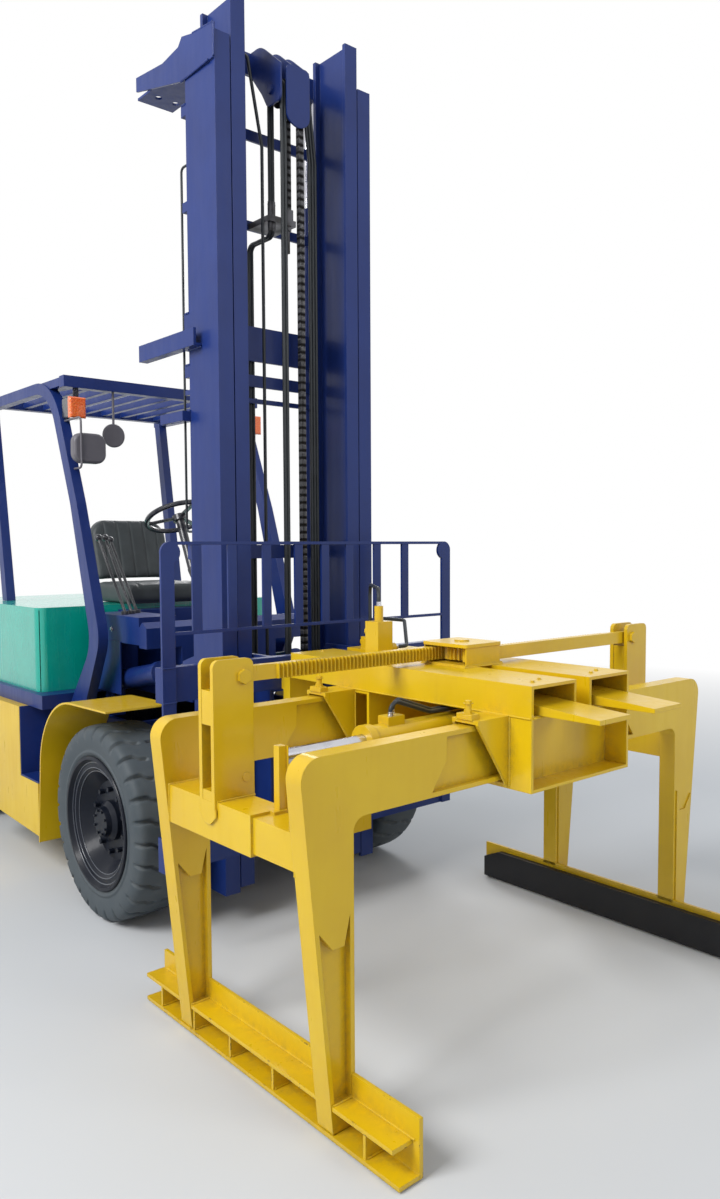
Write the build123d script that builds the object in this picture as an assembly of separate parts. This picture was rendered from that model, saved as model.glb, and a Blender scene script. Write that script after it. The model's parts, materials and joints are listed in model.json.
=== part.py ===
from build123d import *
import math
import os

os.makedirs("parts", exist_ok=True)

# Clamp forklift, in millimetres. The truck faces -Y and its left side is +X. All pieces are drawn from the front
# axle: y = 0 is the axle's line and z = 0 the floor. SHIFT_Y moves everything to the centre of the footprint.

# Overall places
FORK_TIP_Y = -2080
TRUCK_REAR_Y = 2540
SHIFT_Y = -(FORK_TIP_Y + TRUCK_REAR_Y) / 2

# Front wheels on the drive axle
FRONT_R = 407
FRONT_TYRE_X = (513, 763)
FRONT_RIM_R = 279
# Rear wheels on the steer axle
REAR_AXLE_Y = 2000
REAR_R = 338
REAR_TYRE_X = (470, 660)
REAR_RIM_R = 195
KINGPIN_X = 420

# Mast
PIVOT_Z = FRONT_R
MAST_FRONT_Y = -432
MAST_DEPTH = 224
MAST_HALF = 400
RAIL_W = 70
RAIL_GAP = 5
FLANGE_T = 18
OUTER_Z = (130, 3550)
INNER_Z = (150, 3720)
# Sheaves under the inner mast's crosshead, the leaf chain and the pair of hoses that run over them
SHEAVE_Z = 3440
SHEAVE_Y = -365
SHEAVE_R = 58
SHEAVE_SHAFT_R = 18
STRAND_R = 45
CHAIN_X = 27
CHAIN_W = 24
CHAIN_T = 22
CHAIN_LEAVES = 4
HOSE_PAIR_X = (-66, -50)
HOSE_R = 7.5
ANCHOR_Z = (2920, 2945)

# Tilt cylinders: barrel's rear pin and rod's eye as (y, z)
TILT_REAR = (580, 905)
TILT_EYE = (-140, 1035)
TILT_X = 375

# Lift cylinders
LIFT_X, LIFT_Y = 290, -130
LIFT_R = 40

# Carriage and load backrest
CARRIAGE_FACE_Y = -575
FORK_FACE_Y = -586
BACKREST_HALF = 754
BACKREST_TOP_Z = 1572
BACKREST_MID_Z = 1240
FORK_X = (65, 215)
FORK_Z = (1047, 1087)

# Clamp frame on the forks
POCKET_X = (35, 252)
POCKET_Z = (1040, 1138)
POCKET_Y = (-1870, -690)
POCKET_T = 10
CHANNEL_Z = (818, 1040)
CHANNEL_FRONT_Y = -1870
GUIDE_T = 12
MOUTH_X = 390

# Clamp arms
ARM_Z = (843, 1022)
ARM_T = 65
ARM_INNER_END_X = 20
ARM_OUTER_TOP_X = 1022
LEG_OUTER_FOOT_X = 927
LEG_INNER_X = 851
FOOT_WEB_X = (851, 863)
FOOT_BOTTOM_Z = 6
FOOT_FLANGE_Z = 98
FOOT_WEB_Z = 148
FOOT_LENGTH = 1256
PAD_T = 26
PAD_SETBACK = 40
PAD_Z = (10, 136)
BEAM_X = (873, 995)
BEAM_Z = (703, 820)
TOWER_X = (865, 1003)
TOWER_TOP_Z = 1228
TOWER_BOTTOM_Z = 752
TOWER_W = 81
RACK_Z = (1152, 1198)
PINION_Y = -1359
TOOTH_PITCH = 5 * math.pi
PINION_TEETH = 22
RACK_TEETH_X = 755

# Each side of the clamp: its sign along x, front arm's front face, rear arm's front face, foot's front end,
# middle of its tower and rack, and the side of the rack that carries teeth.
SIDES = {
    "right": (-1, -1765, -1055, -2020, -1291, -1),
    "left": (1, -1693, -1130, -1987, -1427, 1),
}

# Cab
GUARD_FRONT_Y = 718
GUARD_HALF = 560
GUARD_TOP_Z = 2372
GUARD_REAR_Y = 1790
DECK_Z = 866
HOOD_HALF = 670
HOOD_Y = (786, 1520)
HOOD_Z = (852, 1262)
CHASSIS_HALF = 745


def box(x0, x1, y0, y1, z0, z1):
    return Pos((x0 + x1) / 2, (y0 + y1) / 2, (z0 + z1) / 2) * Box(abs(x1 - x0), abs(y1 - y0), abs(z1 - z0))


def both(solid):
    """The solid and its mirror image across the truck's middle plane."""
    return [solid, mirror(solid, about=Plane.YZ)]


def cyl_x(r, x0, x1, y, z):
    return Pos((x0 + x1) / 2, y, z) * Rot(0, 90, 0) * Cylinder(r, abs(x1 - x0))


def cyl_y(r, y0, y1, x, z):
    return Pos(x, (y0 + y1) / 2, z) * Rot(90, 0, 0) * Cylinder(r, abs(y1 - y0))


def cyl_z(r, z0, z1, x, y):
    return Pos(x, y, (z0 + z1) / 2) * Cylinder(r, abs(z1 - z0))


def rod(r, a, b):
    """A round bar from point a to point b."""
    a, b = Vector(*a), Vector(*b)
    return Plane(origin=a, z_dir=(b - a).normalized()) * Cylinder(
        r, (b - a).length, align=(Align.CENTER, Align.CENTER, Align.MIN))


def face_of(points, place):
    """A flat face from (a, b) points, put in space by place. A third number rounds that corner to a radius."""
    corners = []
    for i, p in enumerate(points):
        here = Vector(p[0], p[1])
        if len(p) == 2:
            corners.append([here])
            continue
        u = (Vector(*points[i - 1][:2]) - here).normalized()
        v = (Vector(*points[(i + 1) % len(points)][:2]) - here).normalized()
        half = math.radians(u.get_angle(v)) / 2
        middle = (u + v).normalized()
        corners.append([here + u * (p[2] / math.tan(half)), here + middle * (p[2] / math.sin(half) - p[2]),
                        here + v * (p[2] / math.tan(half))])
    edges = []
    for now, after in zip(corners, corners[1:] + corners[:1]):
        if len(now) == 3:
            edges.append(ThreePointArc(*(place(c.X, c.Y) for c in now)))
        if (after[0] - now[-1]).length > 0.01:
            edges.append(Line(place(now[-1].X, now[-1].Y), place(after[0].X, after[0].Y)))
    return make_face(edges).face()


def side_plate(points, x0, x1):
    """A plate across the truck from an outline of (y, z) points."""
    return Solid.extrude(face_of(points, lambda y, z: (x0, y, z)), Vector(x1 - x0, 0, 0))


def front_plate(points, y0, y1):
    """A plate facing forward from an outline of (x, z) points."""
    return Solid.extrude(face_of(points, lambda x, z: (x, y0, z)), Vector(0, y1 - y0, 0))


def flat_plate(points, z0, z1):
    """A level plate from an outline of (x, y) points."""
    return Solid.extrude(face_of(points, lambda x, y: (x, y, z0)), Vector(0, 0, z1 - z0))


def ring_x(profile, y, z):
    """A turned piece round an axle along x, from (radius, x) points."""
    face = make_face(Polyline([(x, y + r, z) for r, x in profile], close=True))
    return revolve(face, Axis((0, y, z), (1, 0, 0)), 360)


def fuse(solids):
    """One piece of all these, added one after the other."""
    solids = list(solids)
    whole = solids[0]
    for s in solids[1:]:
        whole = whole + s
    return whole


nodes = {}


def node(name, *pieces):
    """Keeps a node: its pieces stay as they are given, as one compound."""
    flat = []
    for p in pieces:
        flat += [s for q in (p if isinstance(p, (list, tuple)) else [p]) for s in q.solids()]
    nodes[name] = Compound(children=[Pos(0, SHIFT_Y, 0) * s for s in flat])


# Wheels: the lugs of each tyre, their depth and their share of the pitch at the top, and how the tread's outer
# edge leans in over the shoulder
LUG_COUNTS = {"front": 28, "rear": 22}
LUG_DEPTH = 14
LUG_SHARE = 0.68
SHOULDER_W = 24
SHOULDER_DROP = 26
# Studs of a front rim's disc and of its hub cap: count, pitch circle, radius, how far they stand out
RIM_STUDS = ((10, 132, 11, 24), (8, 50, 6, 8))


def lug_outline(x, count, r, y, z):
    """The wire round a tread at x: a flat lug and a narrower groove at each pitch, the first lug at the bottom."""
    points = []
    groove = (1 - LUG_SHARE) / 2
    for k in range(count):
        for turn, radius in ((k - LUG_SHARE / 2, r), (k + LUG_SHARE / 2, r), (k + 0.5 - groove * 0.7, r - LUG_DEPTH),
                             (k + 0.5 + groove * 0.7, r - LUG_DEPTH)):
            a = 2 * math.pi * turn / count - math.pi / 2
            points.append((x, y + radius * math.cos(a), z + radius * math.sin(a)))
    return Wire.make_polygon([Vector(*p) for p in points])


def tyre(x_in, x_out, r, rim_r, y, count):
    """A solid tyre: lugs straight across the tread, drawn in over both shoulders, on the rim's seat."""
    corner_r = r / math.cos(math.pi * LUG_SHARE / count)
    lower = corner_r - SHOULDER_DROP
    a, b = x_in + SHOULDER_W, x_out - SHOULDER_W
    tread = Solid.extrude(Face(lug_outline(a, count, corner_r, y, r)), Vector(b - a, 0, 0))
    shoulders = [Solid.make_loft([lug_outline(x0, count, corner_r, y, r), lug_outline(x1, count, lower, y, r)], True)
                 for x0, x1 in ((a, x_in), (b, x_out))]
    return fuse([tread] + shoulders).cut(cyl_x(rim_r + 0.3, x_in - 1, x_out + 1, y, r))


def stud_ring(table, x, y, z):
    """Hexagon studs standing out from x, as given by rows of count, circle, radius and height."""
    studs = []
    for count, circle, r, height in table:
        for k in range(count):
            a = 2 * math.pi * (k + 0.5) / count
            place = Plane(origin=(x, y + circle * math.cos(a), z + circle * math.sin(a)), z_dir=(1, 0, 0))
            studs.append(extrude(place * RegularPolygon(r, 6), height))
    return studs


def front_rim():
    """The left front rim: lip, two steps down to the recessed disc with its studs, and the hub cap."""
    x0, x1 = FRONT_TYRE_X
    r = FRONT_RIM_R
    disc_x = x1 - 84
    rim = ring_x([(r, x0 + 14), (r, x1 - 4), (r - 4, x1), (r - 14, x1), (r - 26, x1 - 20),
                  (r - 50, x1 - 20), (r - 66, x1 - 32), (178, x1 - 70), (165, disc_x), (62, disc_x), (62, x0 + 120),
                  (178, x0 + 120), (r - 22, x0 + 90), (r - 22, x0 + 14)], 0, FRONT_R)
    cap = ring_x([(0, 560), (62, 560), (84, disc_x - 1), (84, disc_x + 20), (64, disc_x + 34), (58, x1 - 28),
                  (0, x1 - 28)], 0, FRONT_R)
    rings = stud_ring(RIM_STUDS[:1], disc_x - 1, 0, FRONT_R) + stud_ring(RIM_STUDS[1:], x1 - 29, 0, FRONT_R)
    return fuse([rim, cap] + rings)


def rear_rim():
    """The left rear rim with its cap and six studs."""
    a, b = REAR_TYRE_X
    r = REAR_RIM_R
    rim = ring_x([(r, a + 12), (r, b - 4), (r - 4, b), (r - 12, b), (r - 20, b - 10), (r - 30, b - 60),
                  (56, b - 60), (56, b - 75), (r - 45, b - 75), (r - 45, a + 12)], REAR_AXLE_Y, REAR_R)
    cap = cyl_x(55, a + 62, b - 20, REAR_AXLE_Y, REAR_R)
    return fuse([rim, cap] + stud_ring([(6, 85, 12, 26)], b - 61, REAR_AXLE_Y, REAR_R))


for side, name in ((-1, "right"), (1, "left")):
    x0, x1 = sorted(side * v for v in FRONT_TYRE_X)
    node("front_tyre_" + name, tyre(x0, x1, FRONT_R, FRONT_RIM_R, 0, LUG_COUNTS["front"]))
    x0, x1 = sorted(side * v for v in REAR_TYRE_X)
    node("rear_tyre_" + name, tyre(x0, x1, REAR_R, REAR_RIM_R, REAR_AXLE_Y, LUG_COUNTS["rear"]))
for part, rim in (("front_rim_", front_rim()), ("rear_rim_", rear_rim())):
    right, left = both(rim)[::-1]
    node(part + "right", right)
    node(part + "left", left)

# Axles and knuckles

tube = cyl_x(88, -505, 505, 0, FRONT_R)
diff = ring_x([(0, -170), (120, -160), (190, -70), (190, 70), (120, 160), (0, 170)], 60, FRONT_R)
stub = [cyl_x(56, s * 500, s * 559.7, 0, FRONT_R) for s in (-1, 1)]
node("front_axle", fuse([tube, diff] + stub))

ends = both(flat_plate([(148, REAR_AXLE_Y - 80), (262, REAR_AXLE_Y - 62), (262, REAR_AXLE_Y + 62),
                        (148, REAR_AXLE_Y + 80)], REAR_R - 60, REAR_R + 60))
beam = box(-150, 150, REAR_AXLE_Y - 80, REAR_AXLE_Y + 80, REAR_R - 80, REAR_R + 80)
yokes = []
for s in (-1, 1):
    for z0, z1 in ((REAR_R - 84, REAR_R - 58), (REAR_R + 58, REAR_R + 84)):
        yokes.append(box(s * 200, s * KINGPIN_X, REAR_AXLE_Y - 36, REAR_AXLE_Y + 36, z0, z1))
        yokes.append(cyl_z(36, z0, z1, s * KINGPIN_X, REAR_AXLE_Y))
node("rear_axle", fuse([beam] + ends + yokes))
for s, name in ((-1, "right"), (1, "left")):
    x = s * KINGPIN_X
    k = fuse([cyl_z(34, REAR_R - 57.7, REAR_R + 57.7, x, REAR_AXLE_Y),
              cyl_x(34, x, x + s * 111.7, REAR_AXLE_Y, REAR_R),
              flat_plate([(x - s * 8, REAR_AXLE_Y + 20), (x + s * 18, REAR_AXLE_Y + 20), (x + s * 4, REAR_AXLE_Y + 150),
                          (x - s * 22, REAR_AXLE_Y + 150)], REAR_R - 22, REAR_R + 4)])
    node("knuckle_" + name, k)

# Frame of the truck

rails = both(side_plate([(-20, 560), (-20, 760), (1500, 760), (1500, 420), (1100, 300), (330, 300), (200, 520)],
                        455, 480))
cross = [box(-456, 456, 300, 330, 320, 740), box(-456, 456, 1484, 1500, 420, 740),
         box(-456, 456, 300, 1200, 320, 332)]
hangers = both(side_plate([(-70, 430), (-70, 600), (260, 600), (330, 440), (330, 330), (-70, 330)], 420, 456))
hangers = [h.cut(cyl_x(88.0, -600, 600, 0, FRONT_R)) for h in hangers]
spine = [box(-110, 110, 1484, 2440, 455, 560), box(-90, 90, 1900, 2100, 418, 456)]
# Ears for the tilt cylinders' rear pins: inner and outer plate on a foot from the frame
ears = []
for s in (-1, 1):
    y, z = TILT_REAR
    ears.append(fuse([box(s * 340, s * 456, y - 35, y + 35, 740, 760)] +
                     [box(s * a, s * b, y - 35, y + 35, 759, z + 36) for a, b in ((341, 353), (397, 409))] +
                     [cyl_x(15, s * 336, s * 414, y, z)]))
node("chassis_frame", fuse(rails + cross + hangers + spine + ears))

# Side tanks with the step let into each, and the fenders over the front wheels
tanks = []
for s in (-1, 1):
    body = side_plate([(640, 196), (640, 785), (1540, 785), (1540, 640), (1470, 420), (1380, 220)], s * 480,
                      s * CHASSIS_HALF)
    step = box(s * 582, s * (CHASSIS_HALF + 5), 600, 858, 447, 790)
    tanks.append(body.cut(step))
node("side_tanks", tanks)
liner = []
for s in (-1, 1):
    liner.append(fuse([box(s * 582, s * (CHASSIS_HALF - 2), 640, 858, 447, 455),
                       box(s * 582, s * 590, 640, 858, 447, 785),
                       box(s * 582, s * (CHASSIS_HALF - 2), 850, 858, 447, 785)]))
liner += [box(s * 480.5, s * 700, 680, HOOD_Y[1] - 4, 785, HOOD_Z[0]) for s in (-1, 1)]
node("step_ledges", liner)

# Fender: a bent plate over each front wheel. Rear foot, corner and front end of its outer face as (y, z)
FENDER_FOOT, FENDER_CORNER, FENDER_TIP = (563, 196), (497, 885), (-160, 898)
FENDER_BEND = 350
FENDER_T = 8
FENDER_X = (480, 778)


def fender(x0, x1):
    """The space under the fender's outer face, less the same a plate's thickness further in."""
    (fy, fz), (cy, cz), (ty, tz) = FENDER_FOOT, FENDER_CORNER, FENDER_TIP
    whole = side_plate([(fy, fz), (cy, cz, FENDER_BEND), (ty, tz), (ty, fz)], x0, x1)
    t = FENDER_T
    under = side_plate([(fy - t, fz - 5), (cy - t, cz - t, FENDER_BEND - t), (ty - 5, tz - t), (ty - 5, fz - 5)],
                       x0 - 5, x1 + 5)
    return whole.cut(under)


node("fenders", both(fender(*FENDER_X)))

# Counterweight over the rear wheels: side outline, rounded in plan, with an open grille and a notch for the tow pin
WEIGHT_BEND = 220
GRILLE_HALF = 270
GRILLE_Z = (600, 840)
GRILLE_BARS = 5
TOW_Z = (455, 535)
weight = side_plate([(HOOD_Y[1], 800), (HOOD_Y[1], HOOD_Z[1]), (2250, 1250, 300), (2480, 1130, 120),
                     (TRUCK_REAR_Y, 940), (TRUCK_REAR_Y, 420), (2500, 330), (2450, 330), (2450, 720), (1560, 720),
                     (1560, 800)], -HOOD_HALF, HOOD_HALF)
plan = flat_plate([(-HOOD_HALF, 1500), (-HOOD_HALF, TRUCK_REAR_Y, WEIGHT_BEND), (HOOD_HALF, TRUCK_REAR_Y, WEIGHT_BEND),
                   (HOOD_HALF, 1500)], 300, 1400)
weight = weight & plan
low, high = GRILLE_Z
step = (high - low) / GRILLE_BARS
slots = [box(-GRILLE_HALF, GRILLE_HALF, 2449, TRUCK_REAR_Y + 1, low + (k + 0.28) * step, low + (k + 1) * step)
         for k in range(GRILLE_BARS)]
notch = box(-50, 50, 2480, TRUCK_REAR_Y + 1, *TOW_Z)
for hole in slots + [notch]:
    weight = weight.cut(hole)
web = box(-110, 110, 1560, 2451, 560, 721)
backing = box(-GRILLE_HALF - 20, GRILLE_HALF + 20, 2440, 2452, low - 20, high + 20)
tow_pin = fuse([cyl_z(17, TOW_Z[0] - 30, TOW_Z[1] + 30, 0, 2508), cyl_z(11, 400, 460, 0, 2508)])
node("counterweight", fuse([weight, web, backing, tow_pin]))

# Hood and the ledge under it
hood = box(-HOOD_HALF, HOOD_HALF, HOOD_Y[0], HOOD_Y[1] - 4, HOOD_Z[0], HOOD_Z[1])
hood = fillet(hood.edges().filter_by(Axis.Z).group_by(Axis.Y)[0], 45)
inside = box(-HOOD_HALF + 12, HOOD_HALF - 12, HOOD_Y[0] + 12, HOOD_Y[1] + 5, HOOD_Z[0] - 1, HOOD_Z[1] - 12)
node("hood", hood.cut(inside))
node("engine_block", fuse([box(-250, 250, 860, 1480, 480, 1120), box(-455, 455, 1000, 1060, 500, 560)]))

# Cowl: floor, dash, the control box beside the driver and a cover over the other tilt cylinder
floor = box(-262, 262, 45, 786, DECK_Z - 16, DECK_Z)
walls = both(box(250, 262, 130, 560, DECK_Z - 1, 1110))
skirts = both(fuse([box(261, 480, 630, 786, DECK_Z - 16, DECK_Z), box(455, 480, 630, 786, 760, DECK_Z - 15),
                    box(250, 440, 640, 652, DECK_Z - 1, 1236)]))
dash = fuse([side_plate([(130, DECK_Z - 1), (200, DECK_Z - 1), (200, 1110), (130, 1110)], -262, 262),
             side_plate([(130, 1098), (200, 1098), (200, 1190), (170, 1215), (130, 1190)], -440, 440)])
side_box = side_plate([(199, 1110), (652, 1110), (652, 1236), (199, 1236)], -440, -250)
cover = box(250, 440, 199, 652, 1098, 1110)
seat_box = box(-251, 440, 640, 786, DECK_Z - 1, 1236)
node("cowl", fuse([floor] + walls + skirts + [dash, side_box, cover, seat_box]))

# Overhead guard: front pillars bent back into the roof's side rails, crossbars, slats and rear pillars.
# Front and rear outline of a pillar as (y, z), a third number rounding that corner
GUARD_BAR = 48
PILLAR_KNEE = (562, 1761)
PILLAR_BEND = (813, GUARD_TOP_Z)
PILLAR_FRONT = [(1150, GUARD_TOP_Z), (*PILLAR_BEND, 310), PILLAR_KNEE, (345, 1130, 170), (530, 785)]
PILLAR_REAR = [(680, 785), (680, 804), (440, 1100, 180), (634, 1761), (862, 2318, 250), (1150, 2318)]
SLAT_X = (-400, -290, -180, -60, 60, 180, 290, 400)
pillar = both(side_plate(PILLAR_FRONT + PILLAR_REAR, GUARD_HALF - GUARD_BAR, GUARD_HALF))
rear_pillar = both(side_plate([(1700, 2330), (1524, HOOD_Z[1]), (1590, HOOD_Z[1]), (1760, 2330)], GUARD_HALF - 60,
                              GUARD_HALF - 12))
roof = [box(-GUARD_HALF + 6, GUARD_HALF - 6, GUARD_FRONT_Y - 30, GUARD_FRONT_Y + 22, GUARD_TOP_Z - 54,
            GUARD_TOP_Z),
        box(-GUARD_HALF + 6, GUARD_HALF - 6, 1560, 1610, 2318, 2360)]
# Gussets from the front bar's ends back to the pillars' bends
roof += both(flat_plate([(GUARD_HALF - 6, GUARD_FRONT_Y - 28), (GUARD_HALF - 6, 1000), (GUARD_HALF - 50, 1000),
                         (GUARD_HALF - 110, GUARD_FRONT_Y)], GUARD_TOP_Z - 46, GUARD_TOP_Z - 6))
roof += both(box(GUARD_HALF - GUARD_BAR, GUARD_HALF, 1149, GUARD_REAR_Y, 2318, GUARD_TOP_Z))
slats = [box(x - 14, x + 14, GUARD_FRONT_Y, 1600, 2326, 2358) for x in SLAT_X]
node("overhead_guard", fuse(pillar + rear_pillar + roof + slats))


def pillar_y(z):
    """y of the pillar's front face at a height in its straight upper part."""
    (y0, z0), (y1, z1) = PILLAR_KNEE, PILLAR_BEND
    return y0 + (z - z0) * (y1 - y0) / (z1 - z0)


# Seat: cushion and a back with rounded top corners
SEAT_HALF = 240
cushion = box(-SEAT_HALF, SEAT_HALF, 700, 1130, HOOD_Z[1] + 0.3, 1370)
cushion = fillet(cushion.faces().sort_by(Axis.Y)[0].edges().filter_by(Axis.X), 30)
back = side_plate([(1060, 1370), (1150, 1370), (1235, 1715), (1155, 1715, 30)], -SEAT_HALF + 5, SEAT_HALF - 5)
back = back & front_plate([(-SEAT_HALF + 5, 1369), (-SEAT_HALF + 5, 1715, 110), (SEAT_HALF - 5, 1715, 110),
                           (SEAT_HALF - 5, 1369)], 1000, 1300)
node("seat", fuse([cushion, back]))

# Steering column and wheel: bend of the column, the wheel's middle and lean
COLUMN_BEND = (0, 470, 1440)
WHEEL_MIDDLE = (0, 594, 1706)
WHEEL_R = 165
WHEEL_LEAN = 25
WHEEL_GRIP = 13
place = Pos(*WHEEL_MIDDLE) * Rot(-WHEEL_LEAN, 0, 0)
grip = place * revolve(Pos(WHEEL_R, 0, 0) * Rot(90, 0, 0) * RegularPolygon(WHEEL_GRIP, 8), Axis.Z)
spokes = [place * Rot(0, 0, 120 * k + 30) * (Pos(WHEEL_R / 2, 0, -4) * Box(WHEEL_R, 24, 8)) for k in range(3)]
boss = place * (Pos(0, 0, -8) * Cylinder(34, 30))
column = [rod(24, (0, 222, 1150), COLUMN_BEND), Pos(*COLUMN_BEND) * Sphere(24), rod(22, COLUMN_BEND, WHEEL_MIDDLE),
          box(-50, 50, 200, 262, 1090, 1180)]
# Levers beside the seat: x, y of the foot, y and height of the knob
LEVERS = ((-390, 430, 700, 1600), (-345, 455, 720, 1600), (-300, 490, 760, 1590))
levers = []
for x, foot_y, knob_y, knob_z in LEVERS:
    levers.append(fuse([rod(7, (x, foot_y, 1244), (x, knob_y, knob_z)), Pos(x, knob_y, knob_z) * Sphere(18),
                        cyl_z(18, 1236, 1252, x, foot_y)]))
node("driver_controls", fuse(column + spokes + [boss, grip]), levers)

# Turn lamps in front of the pillars: x of the lens, height, depths of lens and shell, and the strap up to the bar
LAMP_X = (GUARD_HALF - 94, GUARD_HALF - 13)
LAMP_Z = (2168, 2266)
LAMP_DEPTHS = (24, 66)
x0, x1 = LAMP_X
back_y = pillar_y(LAMP_Z[0]) - 0.2
lens_y = back_y - LAMP_DEPTHS[1]
lens = box(x0, x1, lens_y - LAMP_DEPTHS[0], lens_y, *LAMP_Z)
lens = chamfer(lens.faces().sort_by(Axis.Y)[0].edges(), 6)
shell = box(x0, x1, lens_y, back_y, *LAMP_Z)
shell = fillet(shell.edges().filter_by(Axis.Y), 10)
strap = box(x0 + 8, x0 + 34, back_y - 24, back_y - 16, LAMP_Z[1] - 1, GUARD_TOP_Z - 54)
node("turn_lamps", both(fuse([lens, shell, strap])))

# Mirrors: a rounded shell on a wire bracket in front of the right pillar, a round one under the roof
MIRROR_X = (GUARD_HALF - 153, GUARD_HALF + 9)
MIRROR_Y = (552, 592)
MIRROR_Z = (1948, 2089)
WIRE_R = 5
WIRE_Z = (1925, 2160)
x0, x1 = MIRROR_X
shell = box(-x1, -x0, *MIRROR_Y, *MIRROR_Z)
shell = fillet(shell.edges().filter_by(Axis.Y), 46)
shell = fillet(shell.faces().sort_by(Axis.Y)[0].edges(), 14)
wire_x, wire_y = -(GUARD_HALF - 24), MIRROR_Y[0] - WIRE_R + 1
wire_line = FilletPolyline([(wire_x, pillar_y(WIRE_Z[1] - WIRE_R) - 0.2, WIRE_Z[1]), (wire_x, wire_y, WIRE_Z[1]),
                            (wire_x, wire_y, WIRE_Z[0]), (wire_x, pillar_y(WIRE_Z[0] - WIRE_R) - 0.2, WIRE_Z[0])],
                           radius=24)
wire = sweep(Plane(origin=wire_line @ 0, z_dir=wire_line % 0) * Circle(WIRE_R), wire_line)
ROUND_MIRROR = (-295, 708, 2105)
x, y, z = ROUND_MIRROR
disc = fillet(cyl_y(58, y - 10, y + 10, x, z).edges(), 8)
hang = rod(6, (x, y, z), (x, y, GUARD_TOP_Z - 54))
node("mirrors", fuse([shell, wire]), fuse([disc, hang]))

# Outer mast

FRONT_Y, REAR_Y = MAST_FRONT_Y, MAST_FRONT_Y + MAST_DEPTH
outer = []
for s in (-1, 1):
    z0, z1 = OUTER_Z
    outer += [box(s * MAST_HALF, s * (MAST_HALF - FLANGE_T), FRONT_Y, REAR_Y, z0, z1),
              box(s * MAST_HALF, s * (MAST_HALF - RAIL_W), FRONT_Y, FRONT_Y + FLANGE_T, z0, z1),
              box(s * MAST_HALF, s * (MAST_HALF - RAIL_W), REAR_Y - FLANGE_T, REAR_Y, z0, z1)]
    # Yoke that carries the rail on the axle tube
    yoke = side_plate([(REAR_Y - 1, 300), (REAR_Y - 1, 640), (-60, 540), (112, 440), (112, 374), (40, 300)],
                      s * 335, s * 400)
    outer.append(yoke.cut(cyl_x(88.3, -600, 600, 0, PIVOT_Z)))
    # Ear for the tilt cylinder's rod
    y, z = TILT_EYE
    for a, b in ((348, 360), (390, 400)):
        outer.append(side_plate([(REAR_Y - 1, z - 60), (REAR_Y - 1, z + 60), (y + 26, z + 30), (y + 26, z - 30)],
                                s * a, s * b))
    outer.append(cyl_x(12, s * 344, s * 404, y, z))
# Ties behind the rails: their heights
for z0, z1 in ((300, 420), (470, 540), (1500, 1560), (2180, 2200), (2251, 2302), (2362, 2511), (2920, 2960),
               (3300, 3345)):
    outer += [box(-MAST_HALF, MAST_HALF, REAR_Y + 24, REAR_Y + 36, z0, z1)]
    outer += [box(s * MAST_HALF, s * (MAST_HALF - 52), REAR_Y - 1, REAR_Y + 30, z0, z1) for s in (-1, 1)]
# Brackets on the right rail: the top one is a stepped side plate that carries a tray behind the rail
TOP_BRACKET = [(-430, 3440), (-430, 3571), (-278, 3590), (-200, 3609), (-170, 3580), (-40, 3566), (191, 3594),
               (191, 3535), (60, 3500, 60), (-180, 3440)]
tray = box(-MAST_HALF - 1, -230, LIFT_Y + 32, 191, 3500, 3510)
for x, y in ((-345, 110), (-262, 110)):
    tray = tray.cut(cyl_z(15, 3490, 3520, x, y))
brackets = [side_plate(TOP_BRACKET, -MAST_HALF - 8, -MAST_HALF), tray,
            fuse([box(-440, -MAST_HALF, -310, 150, 2360, 2372), box(-440, -428, -310, 150, 2372, 2430)]),
            fuse([box(-440, -MAST_HALF, -215, -180, 2070, 2110), box(-440, -428, -215, -30, 2070, 2110)])]
node("outer_mast", fuse(outer + brackets))

# Inner mast

gap = MAST_HALF - RAIL_W - RAIL_GAP
inner = []
for s in (-1, 1):
    z0, z1 = INNER_Z
    inner += [box(s * 300, s * 284, FRONT_Y, REAR_Y, z0, z1),
              box(s * gap, s * 259, FRONT_Y, FRONT_Y + FLANGE_T, z0, z1),
              box(s * gap, s * 259, REAR_Y - FLANGE_T, REAR_Y, z0, z1)]
    inner += [cyl_x(88, s * 299, s * 375, (FRONT_Y + REAR_Y) / 2, 260)]
for z0, z1 in ((3560, 3650), (320, 420)):
    inner.append(box(-gap, gap, REAR_Y - 1, REAR_Y + 18, z0, z1))
# Hanger under the crosshead: x of its plates' middles, their outline, and a rounded guard plate in front
HANGER_X = (-86, -8, 54)
HANGER_T = 8
GUARD_PLATE_X = (-60, 58)
GUARD_PLATE_Y = MAST_FRONT_Y - 6
GUARD_PLATE_Z = (SHEAVE_Z - 160, SHEAVE_Z + 90)
HANGER_LINE = [(REAR_Y - 1, 3640), (REAR_Y - 1, 3562), (SHEAVE_Y + 60, SHEAVE_Z), (SHEAVE_Y + 24, SHEAVE_Z - 62, 24),
               (GUARD_PLATE_Y + 1, SHEAVE_Z - 62, 24), (GUARD_PLATE_Y + 1, SHEAVE_Z + 84), (-300, 3640, 90)]
inner += [side_plate(HANGER_LINE, x - HANGER_T / 2, x + HANGER_T / 2) for x in HANGER_X]
a, b = GUARD_PLATE_X
low, high = GUARD_PLATE_Z
inner.append(front_plate([(a, high, 24), (a, low + 30, 50), ((a + b) / 2, low, 60), (b, low + 30, 50), (b, high, 24)],
                         GUARD_PLATE_Y - 2, GUARD_PLATE_Y + 6))
inner.append(cyl_x(SHEAVE_SHAFT_R, HANGER_X[0] - 12, HANGER_X[-1] + 12, SHEAVE_Y, SHEAVE_Z))
inner += [box(s * 325, s * 259, REAR_Y - 1, LIFT_Y + 30, 3590, 3610) for s in (-1, 1)]
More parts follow.
